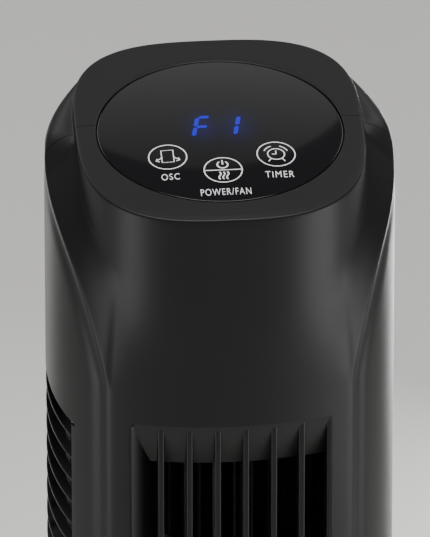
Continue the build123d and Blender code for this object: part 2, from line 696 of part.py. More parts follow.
with BuildPart() as osc_screws:
    with BuildSketch(Plane.XY.offset(floor_top + OSC_FLANGE_T)):
        with Locations((0, CRANK_OFFSET + OSC_SHIFT)):
            with GridLocations(OSC_EARS, 0, 2, 1):
                Circle(OSC_HEAD_R)
    extrude(amount=OSC_HEAD_T)
    with BuildSketch(Plane.XY.offset(floor_top)):
        with Locations((0, CRANK_OFFSET + OSC_SHIFT)):
            with GridLocations(OSC_EARS, 0, 2, 1):
                Circle(OSC_SCREW_R)
    extrude(amount=OSC_FLANGE_T)
save(osc_screws, "osc_screws")

POWER_Y = -38.0
POWER_BOARD = (64, 30)
POWER_HOLES = (54, 22)
STANDOFF_R, STANDOFF_H = 3.0, 4.0
power_mid = floor_top + STANDOFF_H + BOARD_T / 2
power_top = floor_top + STANDOFF_H + BOARD_T
UP = (Align.CENTER, Align.CENTER, Align.MIN)

with BuildPart() as power_board:
    with Locations((0, POWER_Y, power_mid)):
        Box(*POWER_BOARD, BOARD_T)
    with Locations((0, POWER_Y, floor_top + STANDOFF_H / 2)):
        with GridLocations(*POWER_HOLES, 2, 2):
            Cylinder(STANDOFF_R, STANDOFF_H)
    # transformer, then four relays
    with Locations((-18, POWER_Y, power_top)):
        Box(18, 15, 13, align=UP)
    with Locations((22, POWER_Y, power_top)):
        with GridLocations(10, 14, 2, 2):
            Box(7, 9, 8, align=UP)
save(power_board, "power_board")

with BuildPart() as run_capacitor:
    with Locations((4, POWER_Y, power_top)):
        Box(12, 24, 17, align=UP)
    fillet(run_capacitor.edges().filter_by(Axis.Z), 2)
save(run_capacitor, "run_capacitor")

# ---- crank: turns on the gear motor, its pin runs in the slot of the yoke ---------------------------
CRANK_Z0, CRANK_Z1 = 49.5, 53.0
CRANK_WIDE = 7.0
CRANK_HUB_R, CRANK_HUB_T = 4.6, 6.5
PIN_LIFT = 0.5            # end of the pin above the base

with BuildPart() as crank_arm:
    with BuildSketch(Plane.XY.offset(CRANK_Z0)):
        with Locations((0, CRANK_OFFSET + CRANK_R / 2)):
            SlotCenterToCenter(CRANK_R, CRANK_WIDE, rotation=90)
    extrude(amount=CRANK_Z1 - CRANK_Z0)
    with BuildSketch(Plane.XY.offset(CRANK_Z0)):
        with Locations((0, CRANK_OFFSET)):
            Circle(CRANK_HUB_R)
    extrude(amount=CRANK_HUB_T)
    with BuildSketch(Plane.XY.offset(CRANK_Z0)):
        with Locations((0, CRANK_OFFSET)):
            Circle(CRANK_SHAFT_R)
    extrude(amount=floor_top + CRANK_SHAFT_IN - 1 - CRANK_Z0)
    with BuildSketch(Plane.XY.offset(NECK_TOP + PIN_LIFT)):
        with Locations((0, CRANK_OFFSET + CRANK_R)):
            Circle(CRANK_PIN_R)
    extrude(amount=CRANK_Z0 - NECK_TOP - PIN_LIFT)
save(crank_arm, "crank_arm")

with BuildPart() as drive_yoke:
    slot_from = POST_R + 1.5
    slot_to = CRANK_OFFSET + CRANK_R + CRANK_PIN_R + 0.6
    with BuildSketch(Plane.XY.offset(NECK_TOP)):
        with Locations((0, (slot_from + slot_to) / 2)):
            RectangleRounded(2 * SLOT_HALF + 8, slot_to - slot_from + 3, 3)
        Circle(POST_R + 1, mode=Mode.SUBTRACT)
        with Locations((0, (slot_from + 5 + slot_to) / 2)):
            Rectangle(2 * SLOT_HALF, slot_to - slot_from - 5, mode=Mode.SUBTRACT)
    extrude(amount=4)
save(drive_yoke, "drive_yoke")

# ---- base --------------------------------------------------------------------------------------------
COVER_Z0 = 4.5
PLATE_Z0 = FOOT_T
BASE_SCREW_AT = 100.0
BASE_SCREW_R, BASE_HEAD_R, BASE_HEAD_T = 2.0, 4.0, 2.0
PILLAR_TOP = 18.0
PILLAR_R = 5.0
FEET_AT, FOOT_R = 104.0, 8.0
GLAND_R, GLAND_BORE, GLAND_Z = 5.5, 3.6, 34.0
GLAND_OUT, GLAND_LONG = 1.5, 5.0

with BuildPart() as base_cover:
    with BuildSketch(Plane.XZ):
        with BuildLine():
            Polyline((POST_R + RUNNING, NECK_TOP), (NECK_R, NECK_TOP), (NECK_R, 27))
            ThreePointArc((NECK_R, 27), (100, 21), (BASE_R, 9))
            Polyline((BASE_R, 9), (BASE_R, COVER_Z0), (BASE_R - BASE_WALL, COVER_Z0),
                     (BASE_R - BASE_WALL, 7.5), (BASE_R - 12, 13), (NECK_R - BASE_WALL, 24),
                     (NECK_R - BASE_WALL, NECK_TOP - BASE_WALL),
                     (POST_R + RUNNING, NECK_TOP - BASE_WALL), (POST_R + RUNNING, NECK_TOP))
        make_face()
    revolve(axis=Axis.Z)
    fillet(base_cover.edges().filter_by(GeomType.CIRCLE).group_by(Axis.Z)[-1].sort_by(
        SortBy.RADIUS)[-1], 2)
    with BuildSketch(Plane.XY.offset(COVER_Z0)):
        with PolarLocations(BASE_SCREW_AT, 4, 45):
            Circle(PILLAR_R)
    extrude(amount=PILLAR_TOP - COVER_Z0)
    with BuildSketch(Plane.XZ.offset(-NECK_R - 6)):
        with Locations((0, GLAND_Z)):
            Circle(GLAND_R)
    extrude(amount=12, mode=Mode.SUBTRACT)
save(base_cover, "base_cover")

with BuildPart() as base_plate:
    with BuildSketch(Plane.XY.offset(PLATE_Z0)):
        Circle(BASE_R - BASE_WALL - 0.3)
        Circle(10, mode=Mode.SUBTRACT)
        with PolarLocations(BASE_SCREW_AT, 4, 45):
            Circle(BASE_SCREW_R, mode=Mode.SUBTRACT)
    extrude(amount=COVER_Z0 - PLATE_Z0)
save(base_plate, "base_plate")

with BuildPart() as base_screws:
    with BuildSketch(Plane.XY.offset(PLATE_Z0 - BASE_HEAD_T)):
        with PolarLocations(BASE_SCREW_AT, 4, 45):
            Circle(BASE_HEAD_R)
    extrude(amount=BASE_HEAD_T)
    with BuildSketch(Plane.XY.offset(PLATE_Z0)):
        with PolarLocations(BASE_SCREW_AT, 4, 45):
            Circle(BASE_SCREW_R)
    extrude(amount=COVER_Z0 - PLATE_Z0)
save(base_screws, "base_screws")

with BuildPart() as rubber_feet:
    with BuildSketch():
        with PolarLocations(FEET_AT, 6):
            Circle(FOOT_R)
    extrude(amount=FOOT_T)
    fillet(rubber_feet.faces().group_by(Axis.Z)[0].edges(), 0.8)
save(rubber_feet, "rubber_feet")

POST_FLANGE_R = 24.0
POST_FLANGE_T = 4.0
POST_SCREW_AT = 17.0
POST_SCREW_R, POST_HEAD_R, POST_HEAD_T = 1.5, 3.0, 2.0
plate_under = NECK_TOP - BASE_WALL

with BuildPart() as pivot_post:
    with BuildSketch(Plane.XY.offset(plate_under - POST_FLANGE_T)):
        Circle(POST_FLANGE_R)
        Circle(POST_BORE, mode=Mode.SUBTRACT)
        with PolarLocations(POST_SCREW_AT, 3, 30):
            Circle(POST_SCREW_R, mode=Mode.SUBTRACT)
    extrude(amount=POST_FLANGE_T)
    with BuildSketch(Plane.XY.offset(plate_under)):
        Circle(POST_R)
        Circle(POST_BORE, mode=Mode.SUBTRACT)
    extrude(amount=POST_TOP - plate_under)
save(pivot_post, "pivot_post")

with BuildPart() as pivot_screws:
    with BuildSketch(Plane.XY.offset(plate_under - POST_FLANGE_T - POST_HEAD_T)):
        with PolarLocations(POST_SCREW_AT, 3, 30):
            Circle(POST_HEAD_R)
    extrude(amount=POST_HEAD_T)
    with BuildSketch(Plane.XY.offset(plate_under - POST_FLANGE_T)):
        with PolarLocations(POST_SCREW_AT, 3, 30):
            Circle(POST_SCREW_R)
    extrude(amount=POST_FLANGE_T)
save(pivot_screws, "pivot_screws")

with BuildPart() as slide_ring:
    with BuildSketch(Plane.XY.offset(NECK_TOP)):
        Circle(SLIDE_OUT)
        Circle(SLIDE_IN, mode=Mode.SUBTRACT)
    extrude(amount=TOWER_Z0 - CAP_LIFT - NECK_TOP)
save(slide_ring, "slide_ring")

RETAINER_R, RETAINER_T = 16.0, 2.5
RETAINER_SCREW_AT = 11.0

with BuildPart() as retaining_ring:
    with BuildSketch(Plane.XY.offset(POST_TOP)):
        Circle(RETAINER_R)
        Circle(POST_BORE, mode=Mode.SUBTRACT)
    extrude(amount=RETAINER_T)
    with Locations((0, 0, POST_TOP + RETAINER_T)):
        with PolarLocations(RETAINER_SCREW_AT, 3):
            Cylinder(2.2, 1.6, align=UP)
save(retaining_ring, "retaining_ring")

with BuildPart() as cord_gland:
    with BuildSketch(Plane.XZ.offset(-NECK_R - GLAND_OUT)):
        with Locations((0, GLAND_Z)):
            Circle(GLAND_R)
            Circle(GLAND_BORE, mode=Mode.SUBTRACT)
    extrude(amount=GLAND_LONG)
save(cord_gland, "cord_gland")

print(len(written), "pieces")
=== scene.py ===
"""Tower fan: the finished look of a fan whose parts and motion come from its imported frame."""
import json
import math

import bmesh
import bpy
import numpy as np
from bpy.props import FloatProperty, FloatVectorProperty, IntProperty, PointerProperty
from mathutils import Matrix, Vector


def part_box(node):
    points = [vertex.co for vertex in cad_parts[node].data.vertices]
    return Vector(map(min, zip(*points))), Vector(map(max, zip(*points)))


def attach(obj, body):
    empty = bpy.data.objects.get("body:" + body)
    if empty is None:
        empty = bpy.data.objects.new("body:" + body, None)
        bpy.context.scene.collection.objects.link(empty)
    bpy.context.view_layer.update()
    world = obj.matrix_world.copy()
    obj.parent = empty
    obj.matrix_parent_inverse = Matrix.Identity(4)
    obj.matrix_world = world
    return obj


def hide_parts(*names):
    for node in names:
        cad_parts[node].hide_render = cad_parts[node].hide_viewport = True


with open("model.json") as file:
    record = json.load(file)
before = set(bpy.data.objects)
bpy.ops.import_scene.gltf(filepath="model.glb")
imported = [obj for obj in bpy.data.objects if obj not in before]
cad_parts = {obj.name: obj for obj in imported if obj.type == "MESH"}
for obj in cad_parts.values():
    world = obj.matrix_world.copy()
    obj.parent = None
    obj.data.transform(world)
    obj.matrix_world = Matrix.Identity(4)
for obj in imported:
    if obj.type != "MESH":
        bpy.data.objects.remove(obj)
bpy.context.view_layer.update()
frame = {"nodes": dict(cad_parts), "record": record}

bl_info = {
    "name": "Tower Fan",
    "version": (1, 0, 0),
    "blender": (4, 5, 0),
    "location": "View3D > Sidebar > Tower Fan",
    "description": "Casings, grilles, touch panel and finishes of a tower fan",
    "category": "Add Mesh",
}

MM = 0.001
BLACK = (0.0, 0.0, 0.0, 1.0)

# ---- measures read from the frame ----
case_low, case_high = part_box("front_shell")
rear_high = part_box("rear_shell")[1]
outlet_low, outlet_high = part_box("outlet_grille")
inlet_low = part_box("inlet_grille")[0]
lens_low, lens_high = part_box("touch_panel")
base_low, base_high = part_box("base_cover")
BODY_R = case_high.x
FRONT_Y = -case_low.y
TOWER_Z0 = case_low.z
SEAM_Y = case_high.y

# ---- measures of the head and the casings ----
TILT = math.radians(10.0)            # lean of the rim towards the front
FRONT_R = 150.0 * MM                 # plan radius of the bowed front
HEAD_A = 63.4 * MM                   # half width of the head column
HEAD_B = FRONT_Y                     # half depth of the head column
HEAD_POWER = 2.8                     # squareness of the head column in front
HEAD_BACK = 64.4 * MM                # half depth of the head column behind
HEAD_BACK_POWER = 3.3                # and its squareness
RIM_CROWN = 1000.0 * MM              # radius of the slight dome of the rim
RIM_EDGE = 1.1 * MM                  # rounding of the rim's outer edge
RIM_Z = rear_high.z - HEAD_B * math.tan(TILT)
RIM_MID = Vector((0.0, 0.0, RIM_Z))
RIM_UP = Vector((0.0, -math.sin(TILT), math.cos(TILT)))
RIM_BACK = Vector((0.0, math.cos(TILT), math.sin(TILT)))
LENS_A = (lens_high.x - lens_low.x) / 2
LENS_B = 50.5 * MM                   # half depth of the lens
LENS_SHIFT = -2.8 * MM               # its middle, ahead of the rim's middle
LENS_CROWN = 2.0 * MM                # height of its dome
LENS_SINK = 0.3 * MM                 # edge of the lens below the rim
LENS_GAP = 0.4 * MM                  # play round the lens
LENS_LIP = 0.5 * MM                  # rounding of the rim round the lens
OUTLET_CORNER_Y = 57.75 * MM         # how far ahead of the axis the outlet's corners are
OUTLET_EDGE = math.atan2(outlet_high.x, OUTLET_CORNER_Y)
OUTLET_EASE = math.radians(14.0)     # turn over which the casing's rows leave the outlet
INLET_RIGHT = math.radians(110.0)    # where the louvres start on the right, from the front
INLET_LEFT = -math.radians(61.0)     # and on the left
INLET_SLOPE = math.tan(math.radians(12.6))  # rise of a louvre towards the back
INLET_TOP = 634.0 * MM               # top edge of the louvres over the axis
HANDLE_LOW, HANDLE_HIGH = (-42.0 * MM, 664.0 * MM), (42.0 * MM, 698.0 * MM)
HANDLE_CORNER = 5.0 * MM
HANDLE_CUT = (45.0 * MM, 90.0 * MM)  # from inside the rear wall to outside it
RIDGE_SIDE, RIDGE_LIMIT = 17.0, 98.0  # shoulder's lower edge, mm under the rim's middle
RIDGE_SLOPE, RIDGE_CURL = 0.78, 1.0e-5  # its fall per degree, and per degree to the fourth
CREASE_SLOPE, CREASE_CURL = 0.70, 0.0012  # fall of the upper edge per mm, and per mm squared
RIDGE_REAR = 13.0 * MM               # shoulder's lower edge under the rim, rear half
CREASE_REAR = 4.0 * MM               # and its upper edge
SOFT_CORNER = 0.35 * MM              # rounding where the bowed front meets the round body
VALLEY_DEPTH = 1.1 * MM              # soft hollow beside the ridge
VALLEY_AWAY, VALLEY_WIDE = math.radians(4.2), math.radians(2.6)
COLUMN_STEP = 0.9                    # degrees from column to column of the casings
FOOT_ROWS, WINDOW_ROWS, SIDE_ROWS, SHOULDER_ROWS, NECK_ROWS = 4, 24, 33, 25, 15
SOFT_ROWS, SOFT_PASSES = 11, 5       # rows of the neck that are eased, and how often
LOW_SPECULAR = 0.3                   # specular level of textured plastic


# ---- shader maths ----
class Num:
    """A number socket of a material: arithmetic on it adds Math nodes."""

    def __init__(self, paint, socket):
        self.paint = paint
        self.socket = socket

    def _math(self, operation, first, second=0.0, clamp=False):
        settings = {"operation": operation, "use_clamp": clamp}
        return self.paint.node("ShaderNodeMath", settings, {0: first, 1: second})

    def __add__(self, other):
        return self._math("ADD", self, other)

    def __radd__(self, other):
        return self._math("ADD", other, self)

    def __sub__(self, other):
        return self._math("SUBTRACT", self, other)

    def __rsub__(self, other):
        return self._math("SUBTRACT", other, self)

    def __mul__(self, other):
        return self._math("MULTIPLY", self, other)

    def __rmul__(self, other):
        return self._math("MULTIPLY", other, self)

    def __truediv__(self, other):
        return self._math("DIVIDE", self, other)

    def __rtruediv__(self, other):
        return self._math("DIVIDE", other, self)

    def __neg__(self):
        return self._math("SUBTRACT", 0.0, self)

    def clamped(self):
        """The number held between 0 and 1."""
        return self._math("ADD", self, 0.0, True)

    def exp(self):
        """e to this number."""
        return self._math("EXPONENT", self)


class Paint:
    """A material under construction, ending in one Principled shader."""

    def __init__(self, name):
        self.material = bpy.data.materials.new(name)
        self.material.use_nodes = True
        self.tree = self.material.node_tree
        self.tree.nodes.clear()
        self.output = self.tree.nodes.new("ShaderNodeOutputMaterial")
        self.shader = self.tree.nodes.new("ShaderNodeBsdfPrincipled")
        self.tree.links.new(self.shader.outputs[0], self.output.inputs[0])

    def node(self, kind, settings=None, inputs=None, out=0):
        """Add a node: its settings first, then its sockets. Returns one output."""
        made = self.tree.nodes.new(kind)
        for key, value in (settings or {}).items():
            setattr(made, key, value)
        for key, value in (inputs or {}).items():
            self.feed(made.inputs[key], value)
        return Num(self, made.outputs[out])

    def feed(self, socket, value):
        """Link a number to a socket, or set the socket's own value."""
        if isinstance(value, Num):
            self.tree.links.new(value.socket, socket)
        else:
            socket.default_value = value

    def set(self, **values):
        """Set or link sockets of the shader, with underscores for spaces."""
        for key, value in values.items():
            self.feed(self.shader.inputs[key.replace("_", " ")], value)

    def position(self):
        """Position on the object, in metres."""
        return self.node("ShaderNodeTexCoord", out=3)

    def axis(self, index):
        """One coordinate of the position: 0 across, 1 along, 2 up."""
        return self.node("ShaderNodeSeparateXYZ", None, {0: self.position()}, index)

    def noise(self, scale, detail=2.0, rough=0.5):
        """Fractal noise, scale in waves per metre."""
        inputs = {"Vector": self.position(), "Scale": scale, "Detail": detail, "Roughness": rough}
        return self.node("ShaderNodeTexNoise", {"noise_dimensions": "3D"}, inputs)

    def blend(self, factor, first, second):
        """Mix two colours."""
        made = self.tree.nodes.new("ShaderNodeMix")
        made.data_type = "RGBA"
        for index, value in ((0, factor), (6, first), (7, second)):
            self.feed(made.inputs[index], value)
        return Num(self, made.outputs[2])

    def bump(self, height, depth, strength=1.0):
        """Normal from a height, with its depth in metres."""
        inputs = {"Height": height, "Distance": depth, "Strength": strength}
        return self.node("ShaderNodeBump", None, inputs)


def rgba(colour, factor=1.0):
    """A colour as four numbers, brightened or darkened."""
    return (colour[0] * factor, colour[1] * factor, colour[2] * factor, 1.0)


def moulded(name, colour, rough, grain=0.45, depth=0.012, spread=0.10):
    """Moulded plastic: spark-eroded grain, slow drift in tone, and faint scuffs."""
    paint = Paint(name)
    drift = paint.noise(14.0, 3.0)
    speck = paint.noise(1.0 / (grain * MM), 2.0, 0.6)
    scuff = paint.noise(90.0, 6.0, 0.7)
    tone = paint.blend(drift, rgba(colour, 1.0 - spread), rgba(colour, 1.0 + spread))
    gloss = rough + 0.05 * (drift - 0.5) + 0.10 * (speck - 0.5) + 0.06 * (scuff - 0.5)
    paint.set(Base_Color=tone, Roughness=gloss.clamped(), Specular_IOR_Level=LOW_SPECULAR)
    paint.set(Normal=paint.bump(speck, depth * MM, 0.6))
    return paint.material


def polished(name, colour, glow):
    """Polished lens: deep black, faint wiping marks, and light spilling round the digits."""
    paint = Paint(name)
    haze = paint.noise(60.0, 4.0, 0.65)
    streak = paint.noise(350.0, 2.0)
    paint.set(Base_Color=paint.blend(haze, rgba(colour, 0.85), rgba(colour, 1.2)), IOR=1.5)
    paint.set(Roughness=0.035 + 0.02 * haze + 0.012 * streak, Specular_IOR_Level=0.35)
    across, along = paint.axis(0), paint.axis(1)
    halo = 0.0
    for x, y in DIGIT_PLACES:
        middle = on_panel(x, y)
        dx = (across - middle.x) / (6.0 * MM)
        dy = (along - middle.y) / (8.5 * MM)
        halo = halo + (-(dx * dx + dy * dy)).exp()
    paint.set(Emission_Color=paint.blend(halo.clamped(), BLACK, rgba(glow)))
    paint.set(Emission_Strength=0.05)
    return paint.material


def printed(name, colour):
    """Screen-printed ink, a little uneven in its coverage, with a faint painted glow that makes it
    read brighter.
    """
    paint = Paint(name)
    cover = paint.noise(1800.0, 3.0)
    paint.set(Base_Color=paint.blend(cover, rgba(colour, 0.86), rgba(colour, 1.0)))
    # The faint emission is painted light: the ink is not a lamp, but it glows so the symbols read
    # brighter.
    paint.set(Roughness=0.42 + 0.1 * cover, Emission_Color=rgba(colour), Emission_Strength=0.25)
    return paint.material


def lit(name, colour, power):
    """A lit display segment, with a faint ripple in its brightness."""
    paint = Paint(name)
    ripple = paint.noise(900.0, 1.0)
    paint.set(Base_Color=rgba(colour, 0.2), Roughness=0.3, Emission_Strength=power)
    paint.set(Emission_Color=paint.blend(ripple, rgba(colour, 0.8), rgba(colour)))
    return paint.material


def metal(name, colour, rough, brushed=400.0):
    """Plated or turned metal with fine marks and dull patches."""
    paint = Paint(name)
    marks = paint.noise(brushed, 5.0, 0.7)
    patches = paint.noise(45.0, 3.0)
    paint.set(Base_Color=paint.blend(patches, rgba(colour, 0.8), rgba(colour, 1.08)), Metallic=1.0)
    paint.set(Roughness=(rough + 0.18 * (marks - 0.5) + 0.12 * (patches - 0.5)).clamped())
    paint.set(Normal=paint.bump(marks, 0.01 * MM, 0.5))
    return paint.material


def circuit(name, colour):
    """Circuit board: solder mask over copper tracks and pads."""
    paint = Paint(name)
    cells = paint.node(
        "ShaderNodeTexVoronoi", {"feature": "DISTANCE_TO_EDGE"},
        {"Vector": paint.position(), "Scale": 260.0, "Randomness": 0.35},
    )
    track = ((0.08 - cells) * 30.0).clamped()
    paint.set(Base_Color=paint.blend(track, rgba(colour, 0.7), rgba(colour, 1.8)))
    paint.set(Roughness=0.38 + 0.12 * track, Normal=paint.bump(track, 0.03 * MM))
    return paint.material


def floor_paint(name, colour):
    """Pale seamless floor."""
    paint = Paint(name)
    cloud = paint.noise(3.0, 2.0)
    paint.set(Base_Color=paint.blend(cloud, rgba(colour, 0.985), rgba(colour, 1.0)))
    paint.set(Roughness=0.75 + 0.05 * cloud)
    return paint.material


# ---- mesh helpers ----
def add_object(name, verts, faces, material, smooth_angle=32.0):
    """Mesh object from vertices in metres, smooth except at real edges."""
    mesh = bpy.data.meshes.new(name)
    mesh.from_pydata([tuple(v) for v in verts], [], faces)
    mesh.validate()
    return finish_object(name, mesh, material, smooth_angle)


def finish_object(name, mesh, material, smooth_angle=32.0):
    """Put a mesh in the scene with outward normals and shading split at real edges."""
    work = bmesh.new()
    work.from_mesh(mesh)
    bmesh.ops.recalc_face_normals(work, faces=work.faces[:])
    limit = math.radians(smooth_angle)
    for edge in work.edges:
        edge.smooth = len(edge.link_faces) == 2 and edge.calc_face_angle(0.0) < limit
    for face in work.faces:
        face.smooth = True
    work.to_mesh(mesh)
    work.free()
    mesh.materials.clear()
    mesh.materials.append(material)
    return place(name, mesh)


def grid_faces(rows, columns, closed=False, first=0):
    """Quads of a grid of rows by columns, closed round its columns or open."""
    faces = []
    span = columns if closed else columns - 1
    for i in range(rows - 1):
        for j in range(span):
            k = (j + 1) % columns
            a, b = first + i * columns, first + (i + 1) * columns
            faces.append((a + j, a + k, b + k, b + j))
    return faces


def apply_modifiers(piece):
    """Make a piece's modifiers part of its mesh."""
    graph = bpy.context.evaluated_depsgraph_get()
    mesh = bpy.data.meshes.new_from_object(piece.evaluated_get(graph))
    piece.modifiers.clear()
    old = piece.data
    piece.data = mesh
    bpy.data.meshes.remove(old)


def swept(name, sections, material):
    """Closed solid through like cross-sections, each a ring of points, with capped ends."""
    count = len(sections[0])
    verts = [point for ring in sections for point in ring]
    faces = grid_faces(len(sections), count, closed=True)
    faces.append(tuple(range(count)))
    last = (len(sections) - 1) * count
    faces.append(tuple(last + i for i in reversed(range(count))))
    return add_object(name, verts, faces, material)


def joined(name, pieces):
    """Several mesh objects as one."""
    work = bmesh.new()
    material = pieces[0].data.materials[0]
    for piece in pieces:
        work.from_mesh(piece.data)
    mesh = bpy.data.meshes.new(name)
    work.to_mesh(mesh)
    work.free()
    mesh.materials.append(material)
    for piece in pieces:
        remove(piece)
    return place(name, mesh)


def round_rect(width, depth, radius, corner=4):
    """Points of a rounded rectangle round the middle, anticlockwise."""
    points = []
    for sx, sy, start in ((1, 1, 0), (-1, 1, 90), (-1, -1, 180), (1, -1, 270)):
        for i in range(corner + 1):
            turn = math.radians(start + 90 * i / corner)
            points.append((
                sx * (width / 2 - radius) + radius * math.cos(turn),
                sy * (depth / 2 - radius) + radius * math.sin(turn),
            ))
    return points


def steps(count):
    """Even steps from 0 towards 1, without the end."""
    return np.linspace(0, 1, count, endpoint=False)


def remove(piece):
    """Take an object and its mesh out of the file."""
    mesh = piece.data
    bpy.data.objects.remove(piece)
    bpy.data.meshes.remove(mesh)


def place(name, data):
    """Put a mesh, curve, light or camera in the scene."""
    made = bpy.data.objects.new(name, data)
    bpy.context.scene.collection.objects.link(made)
    return made


def smoothstep(low, high, value):
    """0 below low, 1 above high and a soft ramp between."""
    t = np.clip((value - low) / (high - low), 0.0, 1.0)
    return t * t * (3 - 2 * t)


# ---- form of the casings ----
def head_radius(turn):
    """Plan radius of the head column, turn measured from the front."""
    behind = np.abs(turn) > math.pi / 2
    power = np.where(behind, HEAD_BACK_POWER, HEAD_POWER)
    depth = np.where(behind, HEAD_BACK, HEAD_B)
    x, y = np.abs(np.sin(turn)) / HEAD_A, np.abs(np.cos(turn)) / depth
    return (x ** power + y ** power) ** (-1 / power)


def body_radius(turn):
    """Plan radius of the body: a circle whose front is bowed flat, with a soft corner."""
    back = FRONT_R - FRONT_Y
    flat = -np.cos(turn) * back + np.sqrt((np.cos(turn) * back) ** 2 + FRONT_R ** 2 - back ** 2)
    low = np.minimum(flat, BODY_R)
    rest = np.exp((low - flat) / SOFT_CORNER) + np.exp((low - BODY_R) / SOFT_CORNER)
    return low - SOFT_CORNER * np.log(rest)


def ridge_depth(turn):
    """How far under the rim's middle the shoulder meets the side, front half."""
    away = np.clip(90 - np.degrees(np.abs(turn)), -10, 50)
    depth = RIDGE_SIDE + RIDGE_SLOPE * away + RIDGE_CURL * np.abs(away) ** 4 * np.sign(away)
    return np.minimum(depth, RIDGE_LIMIT) * MM


def crease_depth(y):
    """How far under the rim's middle the shoulder meets the head column, front half."""
    ahead = np.clip((SEAM_Y - y) / MM, 0, None)
    return (CREASE_SLOPE * ahead + CREASE_CURL * ahead ** 2) * MM


def rim_height(y):
    """Height of the tilted rim plane."""
    return RIM_Z + y * math.tan(TILT)


def valley(turn, z):
    """Soft hollow in the side walls just outside the ridge, at a height."""
    angles = np.radians(np.linspace(44.0, 93.0, 60))
    heights = RIM_Z - ridge_depth(angles)
    at = np.interp(z, heights, angles)
    near = np.exp(-((np.abs(turn) - at - VALLEY_AWAY) / VALLEY_WIDE) ** 2)
    return VALLEY_DEPTH * near * (np.abs(turn) < math.radians(100))


def ellipse_radius(turn):
    """Plan radius of the oval cut-out for the lens, from the rim's middle."""
    a, b = LENS_A + LENS_GAP, (LENS_B + LENS_GAP) * math.cos(TILT)
    shift = LENS_SHIFT * math.cos(TILT)
    dx, dy = np.sin(turn) / a, -np.cos(turn) / b
    middle = -shift / b
    square = dx ** 2 + dy ** 2
    along = dy * middle
    return (-along + np.sqrt(along ** 2 - square * (middle ** 2 - 1))) / square


def outlet_row(turn, inside, outside):
    """Height of a casing row: inside over the outlet, outside elsewhere, eased between."""
    away = smoothstep(OUTLET_EDGE, OUTLET_EDGE + OUTLET_EASE, np.abs(turn))
    return inside + (outside - inside) * away


def case_turns():
    """Columns of the casing, with one on each edge of the outlet and of the inlet."""
    stops = [-180, math.degrees(INLET_LEFT), -math.degrees(OUTLET_EDGE), 0,
             math.degrees(OUTLET_EDGE), math.degrees(INLET_RIGHT), 180]
    turns = []
    for start, end in zip(stops, stops[1:]):
        count = round((end - start) / COLUMN_STEP)
        turns.extend(np.linspace(start, end, count, endpoint=False))
    return np.radians(np.array(turns))


def shoulder_rows(turn, front, body, head, ridge, crease):
    """Shoulder: straight in front, rolled over behind, melting into the face in the middle."""
    face = 1 - smoothstep(math.radians(38), math.radians(50), np.abs(turn))
    fullness = 2.1 - 0.8 * smoothstep(math.radians(95), math.radians(140), np.abs(turn))
    rows = []
    for t in steps(SHOULDER_ROWS):
        ease = t + face * (t * t * (3 - 2 * t) - t)
        r_line, z_line = body + (head - body) * ease, ridge + (crease - ridge) * t
        up = math.sin(t * math.pi / 2)
        r_roll = head + (body - head) * (1 - up ** fullness) ** (1 / fullness)
        z_roll = ridge + (crease - ridge) * up
        rows.append((front * r_line + (1 - front) * r_roll, front * z_line + (1 - front) * z_roll))
    return rows


def rim_rows(turn, head, crease):
    """Neck of the head, its rounded edge, the rim and the lip of the lens cut-out."""
    hole = ellipse_radius(turn)

    def rim(r):
        return rim_height(-r * np.cos(turn)) - (r ** 2 - hole ** 2) / (2 * RIM_CROWN)

    rows = []
    for t in steps(NECK_ROWS):
        rows.append((head, crease + t * np.maximum(rim(head) - RIM_EDGE - crease, 0.05 * MM)))
    for a in np.linspace(0, math.pi / 2, 5):
        rows.append((head - RIM_EDGE * (1 - math.cos(a)), rim(head) - RIM_EDGE * (1 - math.sin(a))))
    for t in np.linspace(0, 1, 9)[1:]:
        r = head - RIM_EDGE + (hole + LENS_LIP - head + RIM_EDGE) * t
        rows.append((r, rim(r)))
    for t in (0.35, 0.7, 1.0):
        a = t * math.pi / 2
        rows.append((hole + LENS_LIP * (1 - math.sin(a)),
                     rim(hole) - LENS_LIP * (1 - math.cos(a))))
    for depth in (1.6 * MM, 3.2 * MM):
        rows.append((hole, rim(hole) - depth))
    return rows


def case_rows(turn):
    """Outer surface of both casings, from the lower edge to inside the lens cut-out."""
    body, head = body_radius(turn), head_radius(turn)
    front = 1 - smoothstep(math.radians(86), math.radians(100), np.abs(turn))
    head_y, body_y = -head * np.cos(turn), -body * np.cos(turn)
    ridge_rear = rim_height(body_y) - RIDGE_REAR
    crease_rear = rim_height(head_y) - CREASE_REAR
    ridge = front * (RIM_Z - ridge_depth(turn)) + (1 - front) * ridge_rear
    crease = front * (RIM_Z - crease_depth(head_y)) + (1 - front) * crease_rear
    crease = np.minimum(crease, crease_rear)
    inlet_edge = INLET_TOP + INLET_SLOPE * body_y
    top = outlet_row(turn, outlet_high.z, inlet_edge)
    bottom = outlet_row(turn, outlet_low.z, inlet_low.z)
    rows = []

    def wall(z):
        rows.append((body - valley(turn, z), z))

    for t in steps(FOOT_ROWS):
        wall(TOWER_Z0 + t * (bottom - TOWER_Z0))
    lower_window = len(rows)
    for t in steps(WINDOW_ROWS):
        wall(bottom + t * (top - bottom))
    upper_window = len(rows)
    for t in 1 - (1 - steps(SIDE_ROWS)) ** 1.6:
        wall(top + t * (ridge - top))
    rows += shoulder_rows(turn, front, body, head, ridge, crease)
    rows += rim_rows(turn, head, crease)
    return rows, lower_window, upper_window


def soften(rows, start, end, passes):
    """Ease the profile between two rows, so that creases and ridges get a small radius."""
    r = np.array([row[0] for row in rows])
    z = np.array([np.broadcast_to(row[1], row[0].shape) for row in rows])
    for _ in range(passes):
        for grid in (r, z):
            middle = 0.25 * grid[start - 1:end - 1] + 0.5 * grid[start:end]
            grid[start:end] = middle + 0.25 * grid[start + 1:end + 1]
    return r, z


